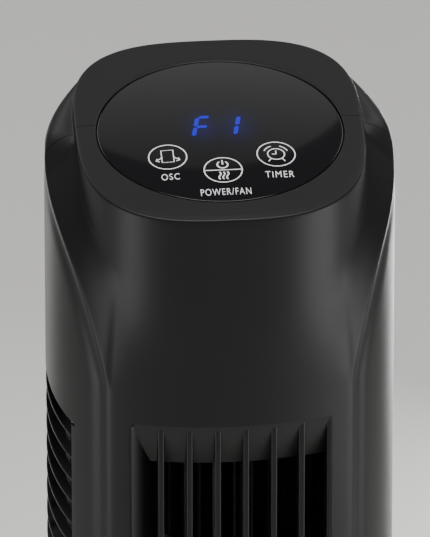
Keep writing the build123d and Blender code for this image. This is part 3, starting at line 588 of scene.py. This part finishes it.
def case_mesh():
    """The two casings as one open skin with the outlet and inlet cut out of it."""
    turn = case_turns()
    rows, low, high = case_rows(turn)
    last = high + SIDE_ROWS + SHOULDER_ROWS + SOFT_ROWS
    r, z = soften(rows, high + 2, last, SOFT_PASSES)
    columns = len(turn)
    verts = []
    for i in range(len(r)):
        for j in range(columns):
            verts.append((r[i, j] * math.sin(turn[j]), -r[i, j] * math.cos(turn[j]), z[i, j]))
    faces = []
    for face in grid_faces(len(r), columns, closed=True):
        row, column = divmod(face[0], columns)
        middle = turn[column] + math.radians(COLUMN_STEP / 3)
        in_outlet = abs(middle) < OUTLET_EDGE
        in_inlet = middle > INLET_RIGHT or middle < INLET_LEFT
        if low <= row < high and (in_outlet or in_inlet):
            continue
        faces.append(face)
    return verts, faces


def half_case(name, verts, faces, side, sizes, material):
    """One casing: the skin on its side of the seam, given its wall thickness."""
    work = bmesh.new()
    made = [work.verts.new(v) for v in verts]
    for face in faces:
        work.faces.new([made[i] for i in face])
    plane = (0.0, SEAM_Y + side * sizes.seam_gap / 2, 0.0)
    bmesh.ops.bisect_plane(
        work, geom=work.verts[:] + work.edges[:] + work.faces[:], plane_co=plane,
        plane_no=(0.0, side, 0.0), clear_inner=True,
    )
    loose = [v for v in work.verts if not v.link_faces]
    bmesh.ops.delete(work, geom=loose, context="VERTS")
    bmesh.ops.recalc_face_normals(work, faces=work.faces[:])
    far = max(work.faces, key=lambda f: f.calc_center_median().y * side)
    if far.normal.y * side < 0:
        bmesh.ops.reverse_faces(work, faces=work.faces[:])
    mesh = bpy.data.meshes.new(name)
    work.to_mesh(mesh)
    work.free()
    skin = place(name + "_skin", mesh)
    solid = skin.modifiers.new("wall", "SOLIDIFY")
    solid.thickness = sizes.wall
    solid.offset = -1.0
    apply_modifiers(skin)
    piece = finish_object(name, skin.data.copy(), material, 38.0)
    remove(skin)
    return piece


def cut_handle(piece, material):
    """Open the rear casing over the carrying recess."""
    (x0, z0), (x1, z1) = HANDLE_LOW, HANDLE_HIGH
    outline = round_rect(x1 - x0, z1 - z0, HANDLE_CORNER, 8)
    sections = [[((x0 + x1) / 2 + px, y, (z0 + z1) / 2 + pz) for px, pz in outline]
                for y in HANDLE_CUT]
    cutter = swept("cutter", sections, material)
    cut = piece.modifiers.new("handle", "BOOLEAN")
    cut.object = cutter
    cut.operation = "DIFFERENCE"
    cut.solver = "EXACT"
    apply_modifiers(piece)
    remove(cutter)


def on_panel(x, y, lift=0.0):
    """Point on the domed lens at rim-plane coordinates, lifted off it."""
    crown_r = (LENS_A ** 2 + LENS_CROWN ** 2) / (2 * LENS_CROWN)
    away = x ** 2 + (y - LENS_SHIFT) ** 2
    height = LENS_CROWN - LENS_SINK - away / (2 * crown_r)
    return RIM_MID + Vector((x, 0, 0)) + RIM_BACK * y + RIM_UP * (height + lift)


# ---- markings ----
KEY_SWING, KEY_POWER, KEY_TIMER = (-24.6, -21.4), (-1.2, -32.2), (22.8, -22.4)
DIGIT_PLACES = ((-7.9 * MM, -1.4 * MM), (7.6 * MM, -1.4 * MM))
DIGIT_HIGH, DIGIT_WIDE, DIGIT_LEAN = 15.6, 7.6, 0.2
SEGMENT_HALF, SEGMENT_GAP, SEGMENT_TIP = 1.0, 0.3, 0.8
INK_LIFT = 0.06 * MM


def ribbon(points, width, closed, material):
    """Flat printed line through points in millimetres on the rim plane, laid on the lens."""
    path = [Vector(p) for p in points]
    count = len(path)
    verts, faces = [], []
    last = count if closed else count - 1
    for i in range(count):
        before = path[(i - 1) % count] if closed or i else path[i]
        after = path[(i + 1) % count] if i < last else path[i]
        along = (after - before).normalized()
        side = Vector((-along.y, along.x)) * width / 2
        for point in (path[i] + side, path[i] - side):
            verts.append(on_panel(point.x * MM, point.y * MM, INK_LIFT))
    for i in range(last):
        k = (i + 1) % count
        faces.append((2 * i, 2 * i + 1, 2 * k + 1, 2 * k))
    return add_object("stroke", verts, faces, material)


def ring(centre, radius, start=0.0, end=360.0, steps=48):
    """Points of an arc in millimetres."""
    turns = np.radians(np.linspace(start, end, steps, endpoint=end - start < 360))
    return [(centre[0] + radius * math.cos(t), centre[1] + radius * math.sin(t)) for t in turns]


def lettering(text, centre, height, width, material):
    """A generic function word printed on the lens, squeezed to a width in millimetres."""
    curve = bpy.data.curves.new("letters", "FONT")
    curve.body = text
    curve.align_x, curve.align_y = "CENTER", "CENTER"
    curve.space_character = 1.18
    source = place("letters", curve)
    graph = bpy.context.evaluated_depsgraph_get()
    mesh = bpy.data.meshes.new_from_object(source.evaluated_get(graph))
    bpy.data.objects.remove(source)
    bpy.data.curves.remove(curve)
    xs, ys = [v.co.x for v in mesh.vertices], [v.co.y for v in mesh.vertices]
    scale_x, scale_y = width / (max(xs) - min(xs)), height / (max(ys) - min(ys))
    mid_x, mid_y = (max(xs) + min(xs)) / 2, (max(ys) + min(ys)) / 2
    for v in mesh.vertices:
        x = centre[0] + (v.co.x - mid_x) * scale_x
        y = centre[1] + (v.co.y - mid_y) * scale_y
        v.co = on_panel(x * MM, y * MM, INK_LIFT)
    return finish_object("letters", mesh, material)


def segment_digit(centre, segments, material):
    """Slanted seven-segment digit made of the named segments."""
    half_w, half_h = DIGIT_WIDE / 2 - SEGMENT_HALF, DIGIT_HIGH / 2 - SEGMENT_HALF
    bars = {
        "a": ((-half_w, half_h), (half_w, half_h)),
        "b": ((half_w, half_h), (half_w, 0)),
        "c": ((half_w, 0), (half_w, -half_h)),
        "d": ((-half_w, -half_h), (half_w, -half_h)),
        "e": ((-half_w, 0), (-half_w, -half_h)),
        "f": ((-half_w, half_h), (-half_w, 0)),
        "g": ((-half_w, 0), (half_w, 0)),
    }
    pieces = []
    for key in segments:
        (x0, y0), (x1, y1) = bars[key]
        along = Vector((x1 - x0, y1 - y0)).normalized()
        side = Vector((-along.y, along.x)) * SEGMENT_HALF
        tip = along * SEGMENT_TIP
        a = Vector((x0, y0)) + along * SEGMENT_GAP
        b = Vector((x1, y1)) - along * SEGMENT_GAP
        outline = [a, a + tip + side, b - tip + side, b, b - tip - side, a + tip - side]
        verts = []
        for p in outline:
            x = centre[0] + p.x + DIGIT_LEAN * p.y
            verts.append(on_panel(x * MM, (centre[1] + p.y) * MM, INK_LIFT))
        pieces.append(add_object("segment", verts, [tuple(range(6))], material))
    return pieces


# ---- properties ----
class FanSizes(bpy.types.PropertyGroup):
    """Sizes of the moulded details."""

    wall: FloatProperty(
        name="Case wall", description="Thickness of the casings", default=2.2 * MM,
        min=0.5 * MM, max=5 * MM, unit="LENGTH", precision=4)
    seam_gap: FloatProperty(
        name="Seam gap", description="Gap between the front and rear casings",
        default=0.22 * MM, min=0.0, max=2 * MM, unit="LENGTH", precision=5)
    rib_width: FloatProperty(
        name="Rib width", description="Width of an outlet rib", default=2.8 * MM,
        min=1 * MM, max=6 * MM, unit="LENGTH", precision=4)
    rib_count: IntProperty(
        name="Ribs", description="Number of upright ribs in the outlet", default=6,
        min=1, max=12)
    rib_pitch: FloatProperty(
        name="Rib pitch", description="Distance from rib to rib", default=12.4 * MM,
        min=5 * MM, max=30 * MM, unit="LENGTH", precision=4)
    slat_pitch: FloatProperty(
        name="Slat pitch", description="Height from louvre to louvre", default=11.0 * MM,
        min=5 * MM, max=30 * MM, unit="LENGTH", precision=4)
    ink_width: FloatProperty(
        name="Line width", description="Width of a printed line on the panel, in mm",
        default=0.55, min=0.2, max=2.0)


class FanFinish(bpy.types.PropertyGroup):
    """Colours of the finishes."""

    case: FloatVectorProperty(
        name="Case", description="Colour of the casings", subtype="COLOR", size=3,
        default=(0.008, 0.008, 0.0085), min=0.0, max=1.0)
    panel: FloatVectorProperty(
        name="Panel", description="Colour of the touch panel", subtype="COLOR", size=3,
        default=(0.004, 0.004, 0.005), min=0.0, max=1.0)
    digits: FloatVectorProperty(
        name="Digits", description="Colour of the lit digits", subtype="COLOR", size=3,
        default=(0.004, 0.004, 1.0), min=0.0, max=1.0)
    ink: FloatVectorProperty(
        name="Ink", description="Colour of the printed symbols", subtype="COLOR", size=3,
        default=(0.85, 0.85, 0.86), min=0.0, max=1.0)
    floor: FloatVectorProperty(
        name="Floor", description="Colour of the floor", subtype="COLOR", size=3,
        default=(0.86, 0.85, 0.82), min=0.0, max=1.0)


# ---- operators ----
class FAN_OT_casings(bpy.types.Operator):
    """Make the front and rear casings with their head, shoulders and seam"""

    bl_idname = "fan.casings"
    bl_label = "Casings"

    def execute(self, context):
        sizes, finish = context.scene.fan_sizes, context.scene.fan_finish
        plastic = moulded("case_black", finish.case, 0.43)
        verts, faces = case_mesh()
        cases = (("front_case", "front_shell", -1), ("rear_case", "rear_shell", 1))
        for name, node, side in cases:
            piece = half_case(name, verts, faces, side, sizes, plastic)
            if side > 0:
                cut_handle(piece, plastic)
            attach(piece, "tower")
            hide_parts(node)
        return {"FINISHED"}


class FAN_OT_outlet(bpy.types.Operator):
    """Make the outlet with its sloping lintel, sill, sides and upright ribs"""

    bl_idname = "fan.outlet"
    bl_label = "Outlet"

    def execute(self, context):
        sizes, finish = context.scene.fan_sizes, context.scene.fan_finish
        plastic = moulded("grille_black", finish.case, 0.40)
        half, low, high = outlet_high.x, outlet_low.z, outlet_high.z
        middle = (low + high) / 2
        deep, drop, back, sink_in = 8.0 * MM, 22.0 * MM, outlet_high.y, 0.15 * MM

        def face_y(x):
            return -FRONT_Y + x * x / (2 * FRONT_R)

        pieces = []
        for sign, edge_z, height in ((1, high, drop), (-1, low, deep)):
            sections = []
            for x in np.linspace(-half, half, 49):
                profile = [(face_y(x) + 0.1 * MM + deep * t ** 1.25, edge_z - sign * height * t)
                           for t in np.linspace(0, 1, 9)]
                profile += [(back, edge_z - sign * height), (back, edge_z - sign * 0.1 * MM)]
                sections.append([(x, y, z) for y, z in profile])
            pieces.append(swept("lintel", sections, plastic))
        side_wide, front = 2.2 * MM, face_y(half) + sink_in
        for side in (-1, 1):
            x = side * (half - side_wide / 2)
            outline = round_rect(side_wide, back - front, 0.5 * MM)
            sections = [[(x + px, (front + back) / 2 + py, z) for px, py in outline]
                        for z in (low, middle, high)]
            pieces.append(swept("side", sections, plastic))
        # slanting wall that closes the first bay
        x0, y0, x1, y1 = -half + 0.6 * MM, -59.0 * MM, -32.6 * MM, -50.6 * MM
        lead_wall = 0.7 * MM
        lead = [(x0, y0), (x1, y1), (x1, y1 + lead_wall), (x0, y0 + lead_wall)]
        sections = [[(x, y, z) for x, y in lead] for z in (low + deep / 2, middle, high - 1 * MM)]
        pieces.append(swept("lead_in", sections, plastic))
        length, rib_back = high - low, -50.0 * MM
        for i in range(sizes.rib_count):
            x = (i - (sizes.rib_count - 1) / 2) * sizes.rib_pitch
            sections = []
            for t in np.linspace(0, 1, 41):
                end = min(t, 1 - t) * length
                sink = 0.5 * MM * max(0.0, 1 - end / (3 * MM)) ** 2
                front = face_y(x) + sink_in + sink
                outline = round_rect(sizes.rib_width, rib_back - front, 0.75 * MM, 5)
                y = (front + rib_back) / 2
                sections.append([(x + px, y + py, low + t * length) for px, py in outline])
            pieces.append(swept("rib", sections, plastic))
        outlet = joined("outlet_ribs", pieces)
        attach(outlet, "tower")
        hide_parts("outlet_grille")
        return {"FINISHED"}


class FAN_OT_inlet(bpy.types.Operator):
    """Make the sloping louvres that run round the back, with their bars and bands"""

    bl_idname = "fan.inlet"
    bl_label = "Inlet"

    def execute(self, context):
        sizes, finish = context.scene.fan_sizes, context.scene.fan_finish
        plastic = moulded("louvre_black", finish.case, 0.36)
        start, end = INLET_RIGHT, 2 * math.pi + INLET_LEFT
        outer = BODY_R - 0.15 * MM
        wall, tip = 2.2 * MM, 0.35 * MM

        def at(r, turn, z):
            return (r * math.sin(turn), -r * math.cos(turn), z)

        def lean(turn):
            return INLET_SLOPE * -BODY_R * math.cos(turn)

        def band(name, profile, follow=1.0):
            sections = [[at(r, turn, z + lean(turn) * follow) for r, z in profile]
                        for turn in np.linspace(start, end, 110)]
            return swept(name, sections, plastic)

        pieces = []
        first_drop, lower_room, slat_deep = 8.5 * MM, 16 * MM, 5.2 * MM
        for i in range(int((INLET_TOP - inlet_low.z - lower_room) / sizes.slat_pitch)):
            z = INLET_TOP - first_drop - i * sizes.slat_pitch
            pieces.append(band("slat", [
                (outer, z - tip), (outer, z + tip), (outer - tip, z + 2 * tip),
                (outer - slat_deep, z - 1.0 * MM), (outer - slat_deep, z - 2.2 * MM),
                (outer - tip, z - 2 * tip),
            ]))
        low, top = inlet_low.z + 0.1 * MM, INLET_TOP - 0.1 * MM
        for name, z0, z1, follow in (("top_band", top - 0.6 * MM, top, 1.0),
                                     ("low_band", low, low + 8 * MM, 0.0)):
            outline = [(outer, z0), (outer, z1), (outer - wall, z1), (outer - wall, z0)]
            pieces.append(band(name, outline, follow))
        bars, wide, bar_deep = 7, math.radians(2.0), 1.8 * MM
        for i in range(bars + 1):
            turn = start + (end - start - wide) * i / bars
            r = outer if i in (0, bars) else outer - 4.2 * MM
            inner, far = r - bar_deep, turn + wide
            corners = ((r, turn), (r, far), (inner, far), (inner, turn))
            lower = [at(r, a, low) for r, a in corners]
            upper = [at(r, a, INLET_TOP - 2 * MM + lean(a)) for r, a in corners]
            pieces.append(swept("bar", [lower, upper], plastic))
        louvres = joined("inlet_louvres", pieces)
        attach(louvres, "tower")
        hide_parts("inlet_grille")
        return {"FINISHED"}


class FAN_OT_panel(bpy.types.Operator):
    """Make the glossy domed oval lens of the touch panel"""

    bl_idname = "fan.panel"
    bl_label = "Touch panel"

    def execute(self, context):
        finish = context.scene.fan_finish
        gloss = polished("panel_gloss", finish.panel, finish.digits)
        around, rings, edge, skirt = 160, 26, 0.5 * MM, 1.4 * MM
        verts, faces = [on_panel(0.0, LENS_SHIFT)], []
        levels = [((1 - edge / LENS_A) * math.sin(t * math.pi / 2), 0.0)
                  for t in np.linspace(0, 1, rings)[1:]]
        levels += [(1 - edge / LENS_A * (1 - math.sin(t)), -edge * (1 - math.cos(t)))
                   for t in np.linspace(0.4, math.pi / 2, 4)]
        levels.append((1.0, -skirt))
        for size, sink in levels:
            for j in range(around):
                turn = 2 * math.pi * j / around
                x, y = LENS_A * size * math.cos(turn), LENS_B * size * math.sin(turn)
                verts.append(on_panel(x, y + LENS_SHIFT, sink))
        for j in range(around):
            faces.append((0, 1 + j, 1 + (j + 1) % around))
        faces += grid_faces(len(levels), around, closed=True, first=1)
        last = 1 + (len(levels) - 1) * around
        faces.append(tuple(last + j for j in reversed(range(around))))
        lens = add_object("panel_lens", verts, faces, gloss, 40.0)
        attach(lens, "tower")
        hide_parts("touch_panel")
        return {"FINISHED"}


class FAN_OT_markings(bpy.types.Operator):
    """Print the key symbols and light the two digits"""

    bl_idname = "fan.markings"
    bl_label = "Symbols and digits"

    def execute(self, context):
        sizes, finish = context.scene.fan_sizes, context.scene.fan_finish
        # The symbols' ink carries a faint painted glow on top of its printed colour.
        ink = printed("panel_ink_painted_glow", finish.ink)
        lamp = lit("digit_blue", finish.digits, 0.52)
        strokes = []

        def line(points, closed=False, weight=1.0):
            strokes.append(ribbon(points, sizes.ink_width * weight, closed, ink))

        for key in (KEY_SWING, KEY_POWER, KEY_TIMER):
            line(ring(key, 8.3, steps=72), True)
        # swing key: an upright body with an arrow each way
        x, y = KEY_SWING
        half, top, foot = 2.6, y + 4.6, y - 3.6
        line([(x - half, top), (x + half, top), (x + half, foot), (x - half, foot)], True)
        for side in (-1, 1):
            for path in (((2.4, 0.2), (3.6, -1.2), (5.0, -2.2)),
                         ((3.6, -3.0), (5.2, -2.4), (4.6, -0.8))):
                line([(x + side * px, y + py) for px, py in path])
        # power and air key: a power sign over three wavy lines, parted by a rule
        x, y = KEY_POWER
        line([(x - 8.1, y), (x + 8.1, y)])
        line(ring((x, y + 3.6), 2.3, -235, 55, 24), weight=1.3)
        line([(x, y + 3.6), (x, y + 6.6)], weight=1.3)
        for shift in (-1.7, 0.0, 1.7):
            wave = [(x + shift + 0.5 * math.sin(t * 2 * math.pi), y - 1.3 - 5.0 * t)
                    for t in np.linspace(0, 1, 16)]
            line(wave, weight=1.3)
        # timer key: an alarm clock
        x, y = KEY_TIMER
        line(ring((x, y), 3.7, steps=40), True)
        line([(x, y + 2.4), (x, y), (x - 1.8, y)])
        for side in (-1, 1):
            line(ring((x, y + 0.4), 5.4, 90 - side * 45 - 25, 90 - side * 45 + 25, 10))
            line([(x + side * 2.4, y - 3.0), (x + side * 3.6, y - 4.9)])
        strokes.append(lettering("OSC", (-24.4, -35.0), 4.2, 8.0, ink))
        strokes.append(lettering("TIMER", (23.2, -36.2), 4.2, 12.6, ink))
        strokes.append(lettering("POWER/FAN", (-1.2, -46.8), 4.4, 22.0, ink))
        symbols = joined("key_symbols", strokes)
        digits = []
        one_shift = DIGIT_WIDE / 2 - 0.9
        for (x, y), segments, shift in zip(DIGIT_PLACES, ("aefg", "bc"), (0.0, one_shift)):
            digits += segment_digit((x / MM - shift, y / MM), segments, lamp)
        lit_digits = joined("display_digits", digits)
        for piece in (symbols, lit_digits):
            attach(piece, "tower")
        return {"FINISHED"}


class FAN_OT_base(bpy.types.Operator):
    """Make the round base with its dished cover and neck"""

    bl_idname = "fan.base"
    bl_label = "Base"

    def execute(self, context):
        plastic = moulded("base_black", context.scene.fan_finish.case, 0.42)
        radius, top, low = base_high.x, base_high.z, base_low.z
        post_hole, neck, neck_foot = 8.6 * MM, 72.0 * MM, 31.0 * MM
        edge_r, foot_r, wall, inset = 2.0 * MM, 4.0 * MM, 3.0 * MM, 0.1 * MM
        quarter = np.linspace(0.2, math.pi / 2, 6)
        profile = [(post_hole, top), (neck - edge_r, top)]
        profile += [(neck - edge_r * (1 - math.sin(t)), top - edge_r * (1 - math.cos(t)))
                    for t in quarter]
        profile.append((neck, neck_foot))
        profile += [(neck + foot_r * (1 - math.cos(t)), neck_foot - foot_r * math.sin(t))
                    for t in quarter]
        # dished top from the neck to the rim
        mid = Vector((100 * MM, 21 * MM))
        a, b = Vector(profile[-1]), Vector((radius - 0.4 * MM, 9.2 * MM))
        control = mid * 2 - (a + b) / 2
        for t in np.linspace(0.08, 1, 16):
            p = a * (1 - t) ** 2 + control * 2 * t * (1 - t) + b * t * t
            profile.append((p.x, p.y))
        profile += [(radius - inset, 8.0 * MM), (radius - inset, low + 1 * MM),
                    (radius - 0.8 * MM, low + 2 * inset), (radius - wall, low + 2 * inset),
                    (radius - wall, 7.5 * MM), (neck - wall, 24 * MM),
                    (neck - wall, top - wall), (post_hole, top - wall)]
        around = 192
        verts = [(r * math.cos(turn), r * math.sin(turn), z)
                 for r, z in profile for turn in 2 * math.pi * steps(around)]
        faces = grid_faces(len(profile), around, closed=True)
        end = (len(profile) - 1) * around
        for j in range(around):
            k = (j + 1) % around
            faces.append((end + j, end + k, k, j))
        base = add_object("base_dome", verts, faces, plastic, 30.0)
        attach(base, "base")
        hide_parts("base_cover")
        return {"FINISHED"}


class FAN_OT_finishes(bpy.types.Operator):
    """Give each remaining part of the frame its own finish"""

    bl_idname = "fan.finishes"
    bl_label = "Finishes of the inner parts"

    def execute(self, context):
        case, dark = context.scene.fan_finish.case, (0.012, 0.012, 0.013)
        paints = {
            "case_black": moulded("cup_black", case, 0.45),
            "grille_black": moulded("frame_black", case, 0.42),
            "base_black": moulded("foot_black", case, 0.42),
            "inner_black": moulded("inner_black", (0.02, 0.02, 0.021), 0.5, grain=0.8),
            "wheel_black": moulded("wheel_black", dark, 0.5, grain=0.6),
            "panel_gloss": moulded("trim_black", dark, 0.2),
            "display": moulded("display_block", (0.03, 0.03, 0.035), 0.3),
            "rubber": moulded("rubber", (0.018, 0.018, 0.018), 0.75, grain=0.3, depth=0.03),
            "nylon": moulded("nylon", (0.72, 0.70, 0.64), 0.4, spread=0.05),
            "capacitor": moulded("capacitor_case", (0.05, 0.055, 0.06), 0.35),
            "board_green": circuit("board_green", (0.012, 0.075, 0.028)),
            "steel": metal("steel", (0.55, 0.55, 0.56), 0.3),
            "zinc_steel": metal("zinc_steel", (0.52, 0.53, 0.54), 0.42, 160.0),
            "stator_steel": metal("stator_steel", (0.24, 0.24, 0.25), 0.5, 900.0),
            "bush": metal("bush_bronze", (0.62, 0.42, 0.18), 0.38),
        }
        slots = {part["node"]: part["material_slot"] for part in frame["record"]["subparts"]}
        for node, piece in frame["nodes"].items():
            piece.data.materials.clear()
            piece.data.materials.append(paints[slots[node]])
        return {"FINISHED"}


def polar(azimuth, elevation, distance, centre):
    """Point at a bearing from a centre, azimuth turned from the front towards the right."""
    turn, lift = math.radians(azimuth), math.radians(elevation)
    level = math.cos(lift)
    away = Vector((math.sin(turn) * level, -math.cos(turn) * level, math.sin(lift)))
    return centre + away * distance


def look_at(made, where, target):
    """Put an object somewhere and turn its front to a point."""
    made.location = where
    made.rotation_euler = (target - where).to_track_quat("-Z", "Y").to_euler()


def soft_light(name, where, target, size, radiance):
    """Large soft light of an even brightness, aimed at a point."""
    data = bpy.data.lights.new(name, "AREA")
    data.shape = "RECTANGLE"
    data.size, data.size_y = size
    data.energy = radiance * math.pi * size[0] * size[1]
    look_at(place(name, data), where, target)


def glow_card(name, where, target, half_wide, half_high, low, high):
    """Oval reflector card, brighter towards its lower edge, that the camera itself can't see."""
    paint = Paint(name)
    share = (paint.axis(1) / (2 * half_high) + 0.5).clamped()
    paint.set(Base_Color=BLACK, Roughness=1.0, Emission_Strength=1.0)
    paint.set(Emission_Color=paint.blend(share, (low, low, low, 1), (high, high, high, 1)))
    turns = 2 * math.pi * steps(64)
    outline = [(half_wide * math.cos(t), half_high * math.sin(t), 0.0) for t in turns]
    card = add_object(name, outline, [tuple(range(len(outline)))], paint.material)
    look_at(card, where, target)
    card.visible_camera = False


class FAN_OT_stage(bpy.types.Operator):
    """Set the pale floor, the studio light and the camera"""

    bl_idname = "fan.stage"
    bl_label = "Stage"

    def execute(self, context):
        reach = 12.0
        corners = [(x * reach, y * reach, 0) for x, y in ((-1, -1), (1, -1), (1, 1), (-1, 1))]
        paint = floor_paint("floor", context.scene.fan_finish.floor)
        floor = add_object("floor", corners, [(0, 1, 2, 3)], paint)
        world = bpy.data.worlds.new("studio")
        world.use_nodes = True
        sky = world.node_tree.nodes["Background"]
        sky.inputs[0].default_value = (1.0, 1.0, 1.0, 1.0)
        sky.inputs[1].default_value = 0.2
        bpy.context.scene.world = world
        aim = Vector((-2.0 * MM, 0.0, RIM_Z - 70.0 * MM))
        head = Vector((0.0, 0.0, RIM_Z))
        soft_light("overhead", polar(0, 80, 2.2, head), head, (1.5, 1.1), 9.0)
        glow_card("card", polar(175, 41.0, 3.0, head), head, 0.42, 0.60, 1.3, 0.4)
        for side in (-1, 1):
            soft_light("sky", polar(175 + side * 40, 36.0, 3.0, head), head, (1.6, 1.2), 2.2)
        low_lights = (
            ("right", 57, 1.1, (0.7, 0.38), 6.0), ("left", -60, 1.1, (0.5, 0.36), 5.5),
            ("rim_left", -152, 1.3, (0.35, 0.5), 1.6), ("rim_right", 152, 1.3, (0.35, 0.5), 11.0),
        )
        for name, azimuth, away, size, radiance in low_lights:
            soft_light(name, polar(azimuth, -22, away, head), head, size, radiance)
        camera_data = bpy.data.cameras.new("camera")
        distance, view_size = 5.0, 0.2366
        camera_data.sensor_width = 36.0
        camera_data.lens = camera_data.sensor_width * distance / view_size
        camera = place("camera", camera_data)
        look_at(camera, polar(-5.0, 28.0, distance, aim), aim)
        bpy.context.scene.camera = camera
        return {"FINISHED"}


class FAN_PT_panel(bpy.types.Panel):
    """Tower fan tools"""

    bl_label = "Tower Fan"
    bl_idname = "FAN_PT_panel"
    bl_space_type = "VIEW_3D"
    bl_region_type = "UI"
    bl_category = "Tower Fan"

    def draw(self, context):
        for group in (context.scene.fan_sizes, context.scene.fan_finish):
            for key in group.bl_rna.properties.keys():
                if key not in ("name", "rna_type"):
                    self.layout.prop(group, key)
        for operator in OPERATORS:
            self.layout.operator(operator.bl_idname)


OPERATORS = (
    FAN_OT_stage, FAN_OT_finishes, FAN_OT_casings, FAN_OT_outlet, FAN_OT_inlet, FAN_OT_panel,
    FAN_OT_markings, FAN_OT_base,
)
CLASSES = (FanSizes, FanFinish) + OPERATORS + (FAN_PT_panel,)


def register():
    """Register the classes and the scene's settings."""
    for item in CLASSES:
        bpy.utils.register_class(item)
    bpy.types.Scene.fan_sizes = PointerProperty(type=FanSizes)
    bpy.types.Scene.fan_finish = PointerProperty(type=FanFinish)


def unregister():
    """Remove the classes and the scene's settings."""
    del bpy.types.Scene.fan_finish
    del bpy.types.Scene.fan_sizes
    for item in reversed(CLASSES):
        bpy.utils.unregister_class(item)


def main():
    """Build the fan."""
    register()
    bpy.ops.fan.stage()
    bpy.ops.fan.finishes()
    bpy.ops.fan.casings()
    bpy.ops.fan.outlet()
    bpy.ops.fan.inlet()
    bpy.ops.fan.panel()
    bpy.ops.fan.markings()
    bpy.ops.fan.base()


if __name__ == "__main__":
    main()
